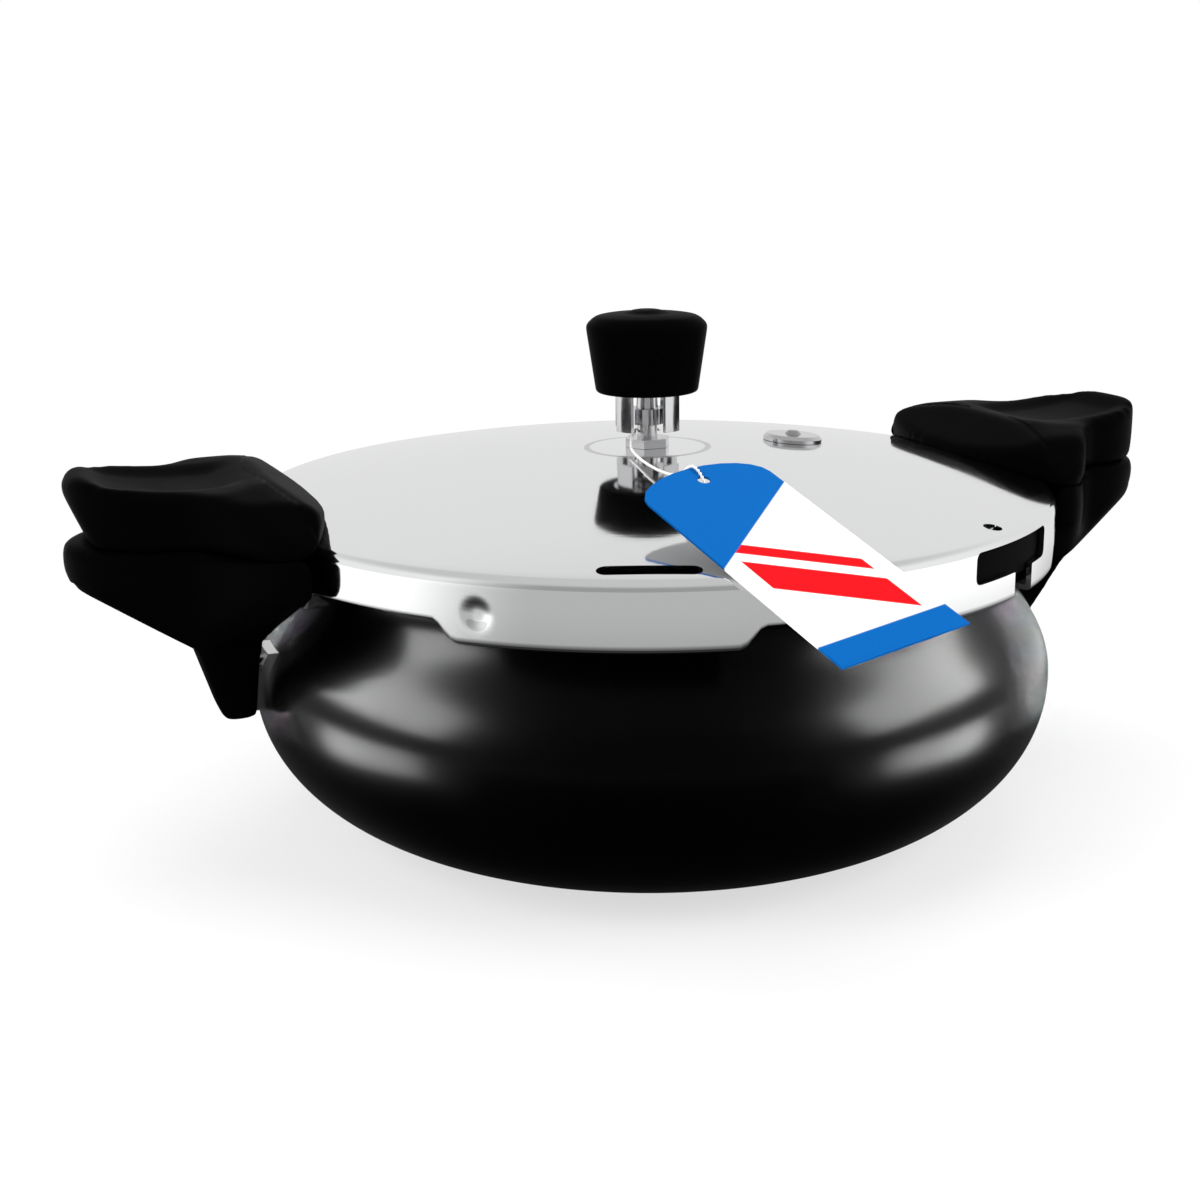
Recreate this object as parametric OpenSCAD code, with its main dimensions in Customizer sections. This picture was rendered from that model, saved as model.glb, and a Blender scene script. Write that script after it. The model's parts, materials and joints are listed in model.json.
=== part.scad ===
// Stovetop pressure cooker: a wide, belly-shaped pot with a bayonet lid, two pairs of ear handles,
// a weight valve on a vent tube, a fusible safety plug and a card tag on a thread.
// Millimetres. The origin is the centre of the base on the resting plane, +X runs along the
// handles and +Z is up. The lid is shown locked, with its handles over the pot's handles.

/* [Pot] */
// Diameter of the pot at its belly, where it is widest
belly_d = 237.4; // [225:0.2:240]
// Height of the belly above the resting plane
belly_z = 43.5; // [38:0.5:50]
// Diameter of the flat base
base_d = 128; // [90:1:150]
// Outside diameter of the neck under the rim
neck_d = 206; // [200:0.5:210]
// Height of the pot, to the top of its rim
rim_z = 84.5; // [80:0.5:100]
// Thickness of the pot's wall and base
pot_wall = 3.2; // [2.5:0.1:4]
// Diameter of the rim between its lugs
rim_d = 217; // [213:0.5:220]
// Thickness of the rim and its lugs
rim_t = 3.5; // [2.5:0.1:4.5]
// Diameter over the bayonet lugs on the rim
lug_d = 229; // [226:0.5:231]
// Number of bayonet lugs on the rim, and of lips on the lid
lug_count = 6; // [6:1:6]
// Width of each lug around the rim, in degrees
lug_angle = 20; // [16:1:21]

/* [Lid] */
// Thickness of the lid's sheet
lid_sheet = 1.5; // [1:0.1:2]
// Radial gap between the lugs and the inside of the skirt
skirt_gap = 2.5; // [1.5:0.1:3]
// Height of the lid's edge above the pot's rim
lid_edge = 12; // [11:0.5:16]
// Rise of the dome above the lid's edge
dome_rise = 11.8; // [9:0.1:14]
// Outside radius of the shoulder between dome and skirt
shoulder_r = 3; // [2:0.1:4]
// Height of the skirt's plain edge above the pot's rim
skirt_lift = 0.5; // [0:0.1:2]
// Width of each deep lip around the skirt, in degrees
lip_angle = 37; // [32:1:38]
// Distance that each lip turns in under the lugs
lip_turn = 7; // [5:0.5:8]
// Running gap between the lips and the lugs
lip_gap = 0.5; // [0.4:0.1:1]

/* [Lid openings] */
// Length of the gasket slot along the shoulder
slot_w = 25.5; // [20:1:34]
// Width of the gasket slot
slot_h = 5; // [3:0.5:6]
// Radius at which the gasket slot lies
slot_r = 111; // [106:0.5:111.5]
// Height of the window in the skirt
window_h = 8.5; // [4:0.5:9]
// Width of the window around the skirt, in degrees
window_angle = 20; // [12:1:22]
// Diameter of the bleed hole near the lid's edge
bleed_d = 5; // [3:0.5:6]
// Diameter of the pressed dimple in the skirt
dimple_d = 9; // [6:0.5:10]

/* [Gasket] */
// Height of the gasket
gasket_h = 9; // [7:0.5:9.5]
// Radial width of the gasket
gasket_w = 13.7; // [11:0.1:16]
// Height of the groove in the gasket's inner face
groove_h = 3.6; // [2:0.2:5]
// Depth of the groove in the gasket's inner face
groove_depth = 7; // [4:0.5:9]

/* [Vent tube] */
// Size across the flats of the vent tube's hexagon and of its nut
hex_af = 12; // [11:0.5:15]
// Height of the vent tube's hexagon
hex_h = 2.6; // [2:0.1:4]
// Diameter of the threaded stem that passes through the lid
stem_d = 8; // [6:0.5:9]
// Diameter of the neck above the hexagon
vent_neck_d = 6; // [5:0.1:7]
// Length of the neck
vent_neck_h = 4.2; // [3:0.1:6]
// Diameter of the collar above the neck
collar_d = 10; // [8:0.1:12]
// Height of the collar
collar_h = 4.6; // [3:0.1:6]
// Diameter of the nozzle that carries the weight
nozzle_d = 6.4; // [5:0.1:7.5]
// Height of the nozzle above the collar
nozzle_h = 12; // [9:0.5:15]
// Bore of the vent tube
vent_bore_d = 3; // [2:0.1:4]

/* [Weight] */
// Largest diameter of the weight's knob
knob_d = 35.6; // [32:0.2:40]
// Diameter of the knob at its lower edge
knob_foot_d = 30; // [26:0.2:32]
// Height of the knob
knob_h = 24; // [21:0.2:28]
// Height from the vent tube's collar to the knob's lower edge
knob_lift = 4.8; // [4:0.1:9]
// Outside diameter of the metal sleeve under the knob
sleeve_d = 21; // [19:0.2:24]
// Wall of the metal sleeve
sleeve_wall = 1; // [0.8:0.1:1.5]
// Length of the sleeve's legs below the knob
leg_h = 11; // [8:0.5:12]
// Width of each leg of the sleeve
leg_w = 6; // [4:0.5:8]
// Diameter of the metal slug inside the sleeve
core_d = 18; // [14:0.5:18]
// Running gap between the slug and the vent nozzle
core_gap = 0.3; // [0.2:0.1:0.5]

/* [Safety plug] */
// Distance of the safety plug from the lid's centre
plug_r = 48; // [40:1:70]
// Diameter of the safety plug's head
plug_d = 18; // [14:0.5:22]
// Height of the safety plug's head
plug_h = 2; // [1.5:0.1:3]
// Diameter of the safety plug's threaded stem
plug_stem_d = 9; // [8:0.5:10]
// Diameter of the fusible core in the safety plug
fuse_d = 5; // [3:0.5:6]

/* [Handles] */
// Distance from the pot's axis to the tip of a lid handle
lid_handle_reach = 167; // [160:0.5:180]
// Distance from the pot's axis to the tip of a pot handle
pot_handle_reach = 168; // [158:0.5:174]
// Width of the handles' wings beside the rim
handle_w = 98; // [84:1:106]
// Width of the handles' grips
grip_w = 46; // [40:1:60]
// Height of a lid handle's tip above the lid's edge
tip_rise = 16.5; // [12:0.5:20]
// Distance from the lid's axis to the nose of a lid handle's apron
apron_r = 100; // [95:0.5:103]
// Gap between the lid handles and the pot handles
handle_gap = 0.6; // [0.4:0.1:1.5]
// Height of a pot handle's foot above the resting plane
foot_z = 42; // [36:1:46]
// Width of a pot handle at its foot
foot_w = 16; // [14:1:24]
// Depth of a pot handle at its tip
tip_depth = 10; // [6:0.5:14]

/* [Brackets and fasteners] */
// Thickness of the brackets
bracket_t = 3; // [2.5:0.1:3.5]
// Width of the brackets
bracket_w = 14; // [12:1:16]
// Thread diameter of the handle screws
screw_d = 4; // [3:0.5:5]
// Shank diameter of the bracket rivets
rivet_d = 3.8; // [3:0.2:5]
// Thickness of the washers
washer_t = 1; // [0.8:0.1:1.5]
// Thickness of the nuts
nut_h = 4; // [3:0.5:5]

/* [Tag] */
// Length of the tag
tag_l = 84.5; // [80:0.5:92]
// Width of the tag
tag_w = 38.5; // [34:0.5:44]
// Thickness of the tag
tag_t = 0.6; // [0.4:0.1:1]
// Diameter of the tag's thread
thread_d = 0.9; // [0.8:0.1:1.2]

/* [Hidden] */
$fn = 96;
facets = 12; // straight steps in each curved stretch of an outline
overlap = 1; // how far a cut runs past the face that it opens

// Colours
aluminium = [0.80, 0.81, 0.82];
black_anodised = [0.08, 0.08, 0.09];
bakelite = [0.05, 0.05, 0.05];
steel = [0.72, 0.73, 0.75];
brass = [0.78, 0.62, 0.30];
rubber = [0.12, 0.12, 0.12];
card_blue = [0.05, 0.45, 0.80];
thread_white = [0.95, 0.95, 0.93];

// Directions around the +Z axis, in degrees
lip_centre = 61.5; // first lip and the lug that it locks under
slot_centre = -112; // gasket slot
window_start = -68; // window in the skirt
notch_start = -58.5; // notch from the window to the skirt's edge
notch_angle = 5.5;
bleed_at = -59; // bleed hole
dimple_at = -132.5; // pressed dimple
leg_turn = 25; // first leg of the weight's sleeve

// Pot
belly_r = belly_d / 2;
base_r = base_d / 2;
neck_r = neck_d / 2;
rim_r = rim_d / 2;
lug_r = lug_d / 2;
rim_under_z = rim_z - rim_t;
lug_pitch = 360 / lug_count;
belly_skew = 1.2; // above 1, the belly stays full for longer before it runs in to the neck

// Lid. The dome is a cap of a large sphere, rounded into a straight skirt.
skirt_in_r = lug_r + skirt_gap;
lid_r = skirt_in_r + lid_sheet;
lid_edge_z = rim_z + lid_edge;
lid_top_z = lid_edge_z + dome_rise;
dome_r = (pow(lid_r, 2) + pow(dome_rise, 2)) / (2 * dome_rise);
dome_centre_z = lid_top_z - dome_r;
skirt_z = rim_z + skirt_lift;
lip_top_z = rim_under_z - lip_gap;
lip_z = lip_top_z - lid_sheet;
lip_in_r = skirt_in_r - lip_turn;
window_z = lid_edge_z - 1.5 - window_h;
bleed_r = lid_r - 6.5;
dimple_z = skirt_z + 0.18 * lid_edge;
dimple_depth = 0.5;
under_lid_gap = 0.1; // flat washers under the curved sheet

// Gasket
gasket_gap = 0.3;
gasket_z = rim_z + gasket_gap;
gasket_r = skirt_in_r - gasket_gap;

// Vent tube and nozzle
collar_z = lid_top_z + hex_h + vent_neck_h;
nozzle_z = collar_z + collar_h;
nozzle_top_z = nozzle_z + nozzle_h;
stem_below = washer_t + nut_h + 1;
washer_rim = 3; // how far a washer reaches past its stem
nut_wall = 5; // width across a nut's flats less its bore
fuse_nib_h = 1; // height of the fusible core above the plug's head

// Weight
knob_z = nozzle_z + knob_lift;
knob_wide = 0.72; // share of the knob's height at which it is widest
crown_d = 9;
crown_h = 1;
core_z = knob_z + 1;
core_h = 14;
stud_d = 6;
stud_h = 5;
sleeve_top_z = core_z + core_h;

// Handles
split_z = lid_edge_z - 1.5; // underside of the lid handles
pot_handle_top_z = split_z - handle_gap;
tip_z = lid_edge_z + tip_rise;
crest_r = lid_r - 2; // where a lid handle's apron meets its grip
apron_sweep = 11; // how far the apron's nose sweeps back to its corners
crest_z = lid_edge_z + 14;
dish_sag = 2.6; // sag of the grip's upper face
tip_round = 4;
tip_run_in = 6; // how far a lid handle's outer face runs in towards its underside
horn_r = 104; // where the pot handles' wings end beside the rim
wing_r = lid_r - 4; // where the flare from wing to grip starts
grip_r = lid_r + 24; // where the flare ends
handle_in_r = max(lid_r, belly_r) + bracket_t;
tip_under_z = pot_handle_top_z - tip_depth;
leg_r = handle_in_r + 8; // outer face of a pot handle's foot
knee_r = leg_r + 7; // where the grip's underside turns down into the leg
knee_z = foot_z + 24;
knee_w = 2.4 * foot_w;
leg_in = 6; // how far the leg runs in before it is cut to the belly's curve

// Brackets
arm_in_r = handle_in_r - 2;
arm_angle = 2 * asin(bracket_w / arm_in_r);
foot_top_z = belly_z + 16;
pot_tab_z = pot_handle_top_z - 11;
lid_tab_z = split_z + 0.3;
lid_tab_in_r = 104;
first_screw = 8.5; // from a handle's inner face to its first screw
screw_pitch = 11;
tab_past = 7.5; // how far a tab runs on past its last screw
lid_screw_r = [handle_in_r + first_screw, handle_in_r + first_screw + screw_pitch];
pot_screw_r = lid_screw_r[1];
tab_r = pot_screw_r + tab_past;
rivet_z = [belly_z + 4, belly_z + 12.5];
rivet_head_d = 8;
rivet_head_h = 2;
csk_depth = 2;

// Tag: its pivot rests on the lid's shoulder
tag_pivot = [-4.9, -lid_r - 0.1, lid_edge_z - 0.1];
tag_heading = -75.1;
tag_pitch = 19.7;
tag_roll = 6.2;
tag_head_l = 0.12 * tag_l; // rounded head above the straight sides
tag_low = 0.373 * tag_l; // from the pivot to the lower end
tag_high = tag_low - tag_l + tag_head_l;
tag_hole = [tag_low - 0.926 * tag_l, 0.7];
tag_hole_d = 3.4;

// Route of the tag's thread from the vent tube's neck to the tag, with heights above the lid's top
thread_route = [
    [4, 0, 4.5], [2.8, 2.8, 4.5], [0, 4, 4.5], [-2.8, 2.8, 4.5], [-4.2, -0.6, 4.4],
    [-7, -5, 3.4], [-10, -13, 1.4], [-13, -32, 0.8], [-14, -50, 1.2], [-15.5, -62, 4],
    [-16.5, -70, 7], [-16, -73, 6.6], [-15.6, -75.4, 4.8], [-15.4, -77, 3]
];

function mix(a, b, t) = a + (b - a) * t;
function reversed(list) = [for (i = [len(list) - 1:-1:0]) list[i]];

// ---------- pot ----------

// Outline of the pot's side from base to neck, set in from the outer surface
function pot_side(inset) = concat(
    [for (i = [0:facets])
        let (a = 90 * i / facets)
        [base_r + (belly_r - base_r - inset) * sin(a), belly_z - (belly_z - inset) * cos(a)]],
    [for (i = [1:facets])
        let (t = i / facets)
        [mix(neck_r, belly_r, (1 + cos(180 * pow(t, belly_skew))) / 2) - inset,
         mix(belly_z, rim_under_z, t)]]
);

// The whole solid inside a side outline, filled to the axis
module turned_solid(side) {
    top = side[len(side) - 1][1];
    rotate_extrude() polygon(concat([[0, side[0][1]]], side, [[0, top]]));
}

module ring_sector(r_in, r_out, z, h, centre, width) {
    rotate([0, 0, centre - width / 2])
        rotate_extrude(angle = width)
            translate([r_in, z]) square([r_out - r_in, h]);
}

module at_lugs() {
    for (i = [0:lug_count - 1])
        rotate([0, 0, lip_centre + i * lug_pitch]) children();
}

module radial_cylinder(d, r_from, r_to, z) {
    translate([r_from, 0, z]) rotate([0, 90, 0]) cylinder(d = d, h = r_to - r_from);
}

module pot_body() {
    inner = pot_side(pot_wall);
    color(black_anodised)
        difference() {
            union() {
                rotate_extrude() polygon(concat(
                    [[0, 0]], pot_side(0),
                    [[rim_r, rim_under_z], [rim_r, rim_z], [neck_r - pot_wall, rim_z]],
                    reversed(inner), [[0, pot_wall]]));
                at_lugs() ring_sector(rim_r - overlap, lug_r, rim_under_z, rim_t, 0, lug_angle);
            }
            for (side = [0, 180], z = rivet_z)
                rotate([0, 0, side])
                    radial_cylinder(rivet_d, belly_r - 4 * pot_wall, belly_r + overlap, z);
        }
}

// Foot on the belly, arm up past the lid's skirt and tab into the handle
module pot_bracket_form() {
    difference() {
        union() {
            intersection() {
                rotate_extrude() polygon(concat([[0, 0]], pot_side(-bracket_t), [[0, rim_under_z]]));
                translate([neck_r, -bracket_w / 2, foot_z + 2])
                    cube([handle_in_r - neck_r + overlap, bracket_w, foot_top_z - foot_z - 2]);
            }
            intersection() {
                union() {
                    ring_sector(arm_in_r, handle_in_r, belly_z, pot_tab_z + bracket_t - belly_z, 0, arm_angle);
                    ring_sector(neck_r, handle_in_r, belly_z, bracket_t, 0, arm_angle);
                }
                translate([neck_r, -bracket_w / 2, 0]) cube([tab_r, bracket_w, rim_z + lid_edge]);
            }
            translate([arm_in_r + 1, -bracket_w / 2, pot_tab_z])
                cube([tab_r - arm_in_r - 1, bracket_w, bracket_t]);
        }
        turned_solid(pot_side(0));
    }
}

module pot_bracket() {
    color(steel)
        difference() {
            pot_bracket_form();
            for (z = rivet_z) radial_cylinder(rivet_d, neck_r, handle_in_r + overlap, z);
            translate([pot_screw_r, 0, pot_tab_z - overlap])
                cylinder(d = screw_d, h = bracket_t + 2 * overlap);
        }
}

// Flush outside, headed inside the pot
module bracket_rivets() {
    color(aluminium)
        for (z = rivet_z) {
            intersection() {
                radial_cylinder(rivet_d, belly_r - 2 * pot_wall, handle_in_r, z);
                turned_solid(pot_side(-bracket_t));
            }
            intersection() {
                radial_cylinder(rivet_head_d, neck_r, belly_r, z);
                difference() {
                    turned_solid(pot_side(pot_wall));
                    turned_solid(pot_side(pot_wall + rivet_head_h));
                }
            }
        }
}

// One side of an ear handle's plan: a wing beside the rim, a flare and a rounded grip
function ear_side(reach, side) = concat(
    [for (i = [0:facets])
        let (t = i / facets)
        [mix(wing_r, grip_r, t), side * mix(handle_w, grip_w, (1 - cos(180 * t)) / 2) / 2]],
    [for (i = [1:facets - 1])
        let (a = 90 * i / facets)
        [mix(grip_r, reach, sin(a)), side * grip_w / 2 * cos(a)]]);

function ear_plan(reach, r_from) = concat(
    [[r_from, -handle_w / 2]], ear_side(reach, -1), [[reach, 0]], reversed(ear_side(reach, 1)),
    [[r_from, handle_w / 2]]);

module side_extrude(outline) {
    rotate([90, 0, 0]) linear_extrude(height = handle_w + 2 * overlap, center = true) polygon(outline);
}

// Extrudes half of an end outline, and its mirror image, along the handle
module end_extrude(half_outline, r_from, r_to) {
    translate([r_from, 0, 0]) rotate([90, 0, 90])
        linear_extrude(height = r_to - r_from)
            polygon(concat(half_outline, [for (p = reversed(half_outline)) [-p[0], p[1]]]));
}

// The pot handle's ear from its tip's underside up to a height
module pot_handle_slab(to_z) {
    translate([0, 0, tip_under_z]) linear_extrude(height = to_z - tip_under_z)
        polygon(ear_plan(pot_handle_reach, horn_r));
}

// A thin slice of a pot handle's leg
module leg_section(out_r, z, w) {
    translate([handle_in_r - leg_in, -w / 2, z]) cube([out_r - handle_in_r + leg_in, w, overlap]);
}

module pot_handle() {
    color(bakelite)
        difference() {
            union() {
                pot_handle_slab(pot_handle_top_z);
                intersection() {
                    linear_extrude(height = pot_handle_top_z) polygon(ear_plan(pot_handle_reach, horn_r));
                    hull() {
                        pot_handle_slab(tip_under_z + overlap);
                        leg_section(knee_r, knee_z, knee_w);
                    }
                }
                hull() {
                    leg_section(knee_r, knee_z, knee_w);
                    leg_section(leg_r, foot_z, foot_w);
                }
            }
            cylinder(r = handle_in_r, h = pot_handle_top_z + overlap);
            pot_bracket_form();
            translate([pot_screw_r, 0, 0]) {
                cylinder(d = 2.4 * screw_d, h = pot_tab_z - 5);
                cylinder(d = screw_d, h = pot_tab_z + bracket_t + 4);
            }
        }
}

module pot_handle_screw() {
    color(steel)
        translate([pot_screw_r, 0, pot_tab_z - 5]) {
            cylinder(d = screw_d, h = bracket_t + 9);
            translate([0, 0, -2.4]) cylinder(d = 2 * screw_d, h = 2.4);
        }
}

// ---------- lid ----------

function dome_z(r) = dome_centre_z + sqrt(pow(dome_r, 2) - pow(r, 2));

// Outline of the lid from its centre down to the shoulder's end, set in from the outer surface
function lid_side(inset) =
    let (cap_r = dome_r - inset,
         round_r = max(shoulder_r - inset, 0.2),
         round_at = lid_r - inset - round_r,
         tangent = asin(round_at / (cap_r - round_r)),
         round_z = dome_centre_z + (cap_r - round_r) * cos(tangent))
    concat(
        [for (i = [0:facets])
            let (a = tangent * i / facets)
            [cap_r * sin(a), dome_centre_z + cap_r * cos(a)]],
        [for (i = [1:facets / 2])
            let (a = (90 - tangent) * (1 - 2 * i / facets))
            [round_at + round_r * cos(a), round_z + round_r * sin(a)]]);

// Stands its children on the dome at a distance from its centre, square to the surface
module on_dome(r) {
    translate([0, 0, dome_centre_z]) rotate([0, asin(r / dome_r), 0]) translate([0, 0, dome_r]) children();
}

module lid_solid() {
    rotate_extrude() polygon(concat(lid_side(0), [[lid_r, lip_z], [0, lip_z]]));
}

module gasket_slot() {
    half = (slot_w - slot_h) / 2;
    rotate([0, 0, slot_centre])
        translate([slot_r, 0, lid_edge_z - 2 * lid_sheet])
            linear_extrude(height = dome_rise) {
                square([slot_h, 2 * half], center = true);
                for (y = [-half, half]) translate([0, y]) circle(d = slot_h);
            }
}

module lid_shell() {
    dimple_ball_r = (pow(dimple_d / 2, 2) + pow(dimple_depth, 2)) / (2 * dimple_depth);
    color(aluminium)
        difference() {
            rotate_extrude() polygon(concat(
                lid_side(0),
                [[lid_r, lip_z], [lip_in_r, lip_z], [lip_in_r, lip_top_z], [skirt_in_r, lip_top_z]],
                reversed(lid_side(lid_sheet))));
            at_lugs()
                ring_sector(lip_in_r - overlap, lid_r + overlap, lip_z - overlap,
                            skirt_z - lip_z + overlap, lug_pitch / 2, lug_pitch - lip_angle);
            translate([0, 0, lid_top_z - dome_rise]) cylinder(d = stem_d, h = 2 * dome_rise);
            on_dome(plug_r) translate([0, 0, -2 * lid_sheet]) cylinder(d = plug_stem_d, h = 3 * lid_sheet);
            gasket_slot();
            ring_sector(skirt_in_r - overlap, lid_r + overlap, window_z, window_h,
                        window_start + window_angle / 2, window_angle);
            ring_sector(lip_in_r - overlap, lid_r + overlap,
                        lip_z - overlap, window_z - lip_z + 2 * overlap,
                        notch_start + notch_angle / 2, notch_angle);
            rotate([0, 0, bleed_at]) translate([bleed_r, 0, lid_edge_z - 2 * lid_sheet])
                cylinder(d = bleed_d, h = dome_rise);
            rotate([0, 0, dimple_at]) translate([lid_r - dimple_depth + dimple_ball_r, 0, dimple_z])
                sphere(r = dimple_ball_r);
        }
}

// Step on the dome and tab under the handle, seated on the lid's surface
module lid_bracket_form() {
    step_h = dome_z(lid_tab_in_r) + 2 - lid_tab_z;
    difference() {
        translate([0, -bracket_w / 2, lid_tab_z]) {
            translate([lid_tab_in_r, 0, 0]) cube([lid_r - lid_tab_in_r, bracket_w, step_h]);
            translate([crest_r, 0, 0]) cube([tab_r - crest_r, bracket_w, bracket_t]);
        }
        lid_solid();
    }
}

module lid_screws(grow = 0) {
    for (r = lid_screw_r)
        translate([r, 0, lid_tab_z]) {
            cylinder(d1 = 2 * screw_d, d2 = screw_d, h = csk_depth);
            cylinder(d = screw_d, h = bracket_t + 5 + grow);
        }
}

module lid_bracket() {
    color(steel)
        difference() {
            lid_bracket_form();
            lid_screws();
        }
}

module lid_handle_screws() {
    color(steel) lid_screws();
}

module lid_handle() {
    reach = lid_handle_reach;
    side = concat(
        [[apron_r, split_z], [apron_r, dome_z(apron_r) + 1]],
        [for (i = [0:facets])
            let (t = i / facets)
            [mix(crest_r, reach - tip_round, t), mix(crest_z, tip_z, t) - 4 * dish_sag * t * (1 - t)]],
        [for (i = [1:facets / 2])
            let (a = 90 - 180 * i / facets)
            [reach - tip_round + tip_round * cos(a), tip_z - tip_round + tip_round * sin(a)]],
        [[reach - tip_run_in, split_z]]);
    half = handle_w / 2;
    nose = concat([for (i = [-facets:facets])
        let (w = -half * i / facets)
        [apron_r + apron_sweep * pow(w / half, 2), w]], ear_plan(reach, apron_r + apron_sweep));
    front = [[half, split_z], [0.96 * half, split_z + 5], [0.78 * half, crest_z - 3],
             [grip_w / 2, crest_z - 0.5], [0.4 * grip_w, tip_z + overlap]];
    color(bakelite)
        difference() {
            intersection() {
                translate([0, 0, split_z]) linear_extrude(height = tip_z - split_z + overlap) polygon(nose);
                side_extrude(side);
                end_extrude(front, apron_r, reach);
            }
            lid_solid();
            lid_bracket_form();
            translate([0, -bracket_w / 2, split_z - overlap])
                translate([crest_r, 0, 0])
                    cube([tab_r - crest_r, bracket_w, lid_tab_z - split_z + overlap]);
            lid_screws(1);
        }
}

// ---------- gasket ----------

module gasket() {
    in_r = gasket_r - gasket_w;
    groove_z = (gasket_h - groove_h) / 2;
    color(rubber)
        rotate_extrude() translate([0, gasket_z])
            polygon([[in_r, 0], [gasket_r, 0], [gasket_r, gasket_h], [in_r, gasket_h],
                     [in_r, groove_z + groove_h], [in_r + groove_depth, groove_z + groove_h],
                     [in_r + groove_depth, groove_z], [in_r, groove_z]]);
}

// ---------- vent tube and safety plug ----------

module hexagon(af, h) {
    cylinder(d = af / cos(30), h = h, $fn = 6);
}

module washer(hole_d) {
    difference() {
        cylinder(d = hole_d + 2 * washer_rim, h = washer_t);
        translate([0, 0, -overlap]) cylinder(d = hole_d, h = washer_t + 2 * overlap);
    }
}

module nut(hole_d) {
    difference() {
        hexagon(hole_d + nut_wall, nut_h);
        translate([0, 0, -overlap]) cylinder(d = hole_d, h = nut_h + 2 * overlap);
    }
}

module under_lid(depth) {
    translate([0, 0, -lid_sheet - under_lid_gap - depth]) children();
}

module vent_tube() {
    color(steel)
        difference() {
            union() {
                translate([0, 0, lid_top_z - lid_sheet - stem_below])
                    cylinder(d = stem_d, h = lid_sheet + stem_below);
                translate([0, 0, lid_top_z]) hexagon(hex_af, hex_h);
                translate([0, 0, lid_top_z]) cylinder(d = vent_neck_d, h = collar_z - lid_top_z + overlap);
                translate([0, 0, collar_z]) cylinder(d = collar_d, h = collar_h);
                translate([0, 0, nozzle_z]) cylinder(d1 = nozzle_d, d2 = 0.8 * nozzle_d, h = nozzle_h);
            }
            translate([0, 0, lid_top_z - lid_sheet - stem_below - overlap])
                cylinder(d = vent_bore_d,
                         h = nozzle_top_z - lid_top_z + lid_sheet + stem_below + 2 * overlap);
        }
}

module vent_washer() {
    color(steel) translate([0, 0, lid_top_z]) under_lid(washer_t) washer(stem_d);
}

module vent_nut() {
    color(steel) translate([0, 0, lid_top_z]) under_lid(washer_t + nut_h) nut(stem_d);
}

module safety_plug() {
    bevel = 1;
    color(steel)
        on_dome(plug_r)
            difference() {
                union() {
                    translate([0, 0, -lid_sheet - stem_below])
                        cylinder(d = plug_stem_d, h = lid_sheet + stem_below);
                    cylinder(d = plug_d, h = plug_h - bevel);
                    translate([0, 0, plug_h - bevel])
                        cylinder(d1 = plug_d, d2 = plug_d - 2 * bevel, h = bevel);
                }
                translate([0, 0, -lid_sheet - stem_below - overlap])
                    cylinder(d = fuse_d, h = lid_sheet + stem_below + plug_h + 2 * overlap);
            }
}

module fusible_core() {
    color(brass)
        on_dome(plug_r)
            translate([0, 0, -lid_sheet - stem_below]) {
                cylinder(d = fuse_d, h = lid_sheet + stem_below + plug_h);
                translate([0, 0, lid_sheet + stem_below + plug_h])
                    cylinder(d1 = fuse_d, d2 = 0.6 * fuse_d, h = fuse_nib_h);
            }
}

module plug_washer() {
    color(steel) on_dome(plug_r) under_lid(washer_t) washer(plug_stem_d);
}

module plug_nut() {
    color(steel) on_dome(plug_r) under_lid(washer_t + nut_h) nut(plug_stem_d);
}

// ---------- weight ----------

module weight_knob() {
    wide_z = knob_wide * knob_h;
    side_d = mix(knob_foot_d, knob_d, 0.75); // where the straight flare ends
    color(bakelite)
        translate([0, 0, knob_z])
            difference() {
                union() {
                    rotate_extrude() polygon(concat(
                        [[0, 0], [knob_foot_d / 2, 0]],
                        [for (i = [0:facets])
                            let (a = 90 * i / facets)
                            [(side_d + (knob_d - side_d) * cos(a)) / 2,
                             wide_z + (knob_h - crown_h - wide_z) * sin(a)]],
                        [[0, knob_h - crown_h]]));
                    cylinder(d = crown_d, h = knob_h);
                }
                translate([0, 0, -overlap])
                    cylinder(d = sleeve_d, h = sleeve_top_z + sleeve_wall - knob_z + overlap);
                cylinder(d = stud_d, h = sleeve_top_z + stud_h - knob_z);
            }
}

module weight_sleeve() {
    color(steel)
        difference() {
            translate([0, 0, knob_z - leg_h])
                cylinder(d = sleeve_d, h = sleeve_top_z + sleeve_wall - knob_z + leg_h);
            translate([0, 0, knob_z - leg_h - overlap])
                cylinder(d = sleeve_d - 2 * sleeve_wall, h = sleeve_top_z - knob_z + leg_h + overlap);
            translate([0, 0, knob_z]) cylinder(d = stud_d, h = 2 * core_h);
            difference() {
                translate([0, 0, knob_z - leg_h - overlap])
                    cylinder(d = sleeve_d + overlap, h = leg_h + overlap);
                for (turn = [0, 90])
                    rotate([0, 0, leg_turn + turn])
                        translate([-sleeve_d, -leg_w / 2, knob_z - leg_h - 2 * overlap])
                            cube([2 * sleeve_d, leg_w, leg_h + 3 * overlap]);
            }
        }
}

module weight_core() {
    seat_z = nozzle_top_z + core_gap;
    color(brass)
        difference() {
            union() {
                translate([0, 0, core_z]) cylinder(d = core_d, h = core_h);
                translate([0, 0, core_z]) cylinder(d = stud_d, h = core_h + stud_h);
            }
            translate([0, 0, core_z - overlap])
                cylinder(d = nozzle_d + 2 * core_gap, h = seat_z - core_z + overlap);
        }
}

// ---------- tag ----------

// The tag's own frame: +X towards its lower end, +Y across, origin where it rests on the shoulder
module at_tag() {
    translate(tag_pivot)
        rotate([0, 0, tag_heading]) rotate([0, tag_pitch, 0]) rotate([tag_roll, 0, 0]) children();
}

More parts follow.
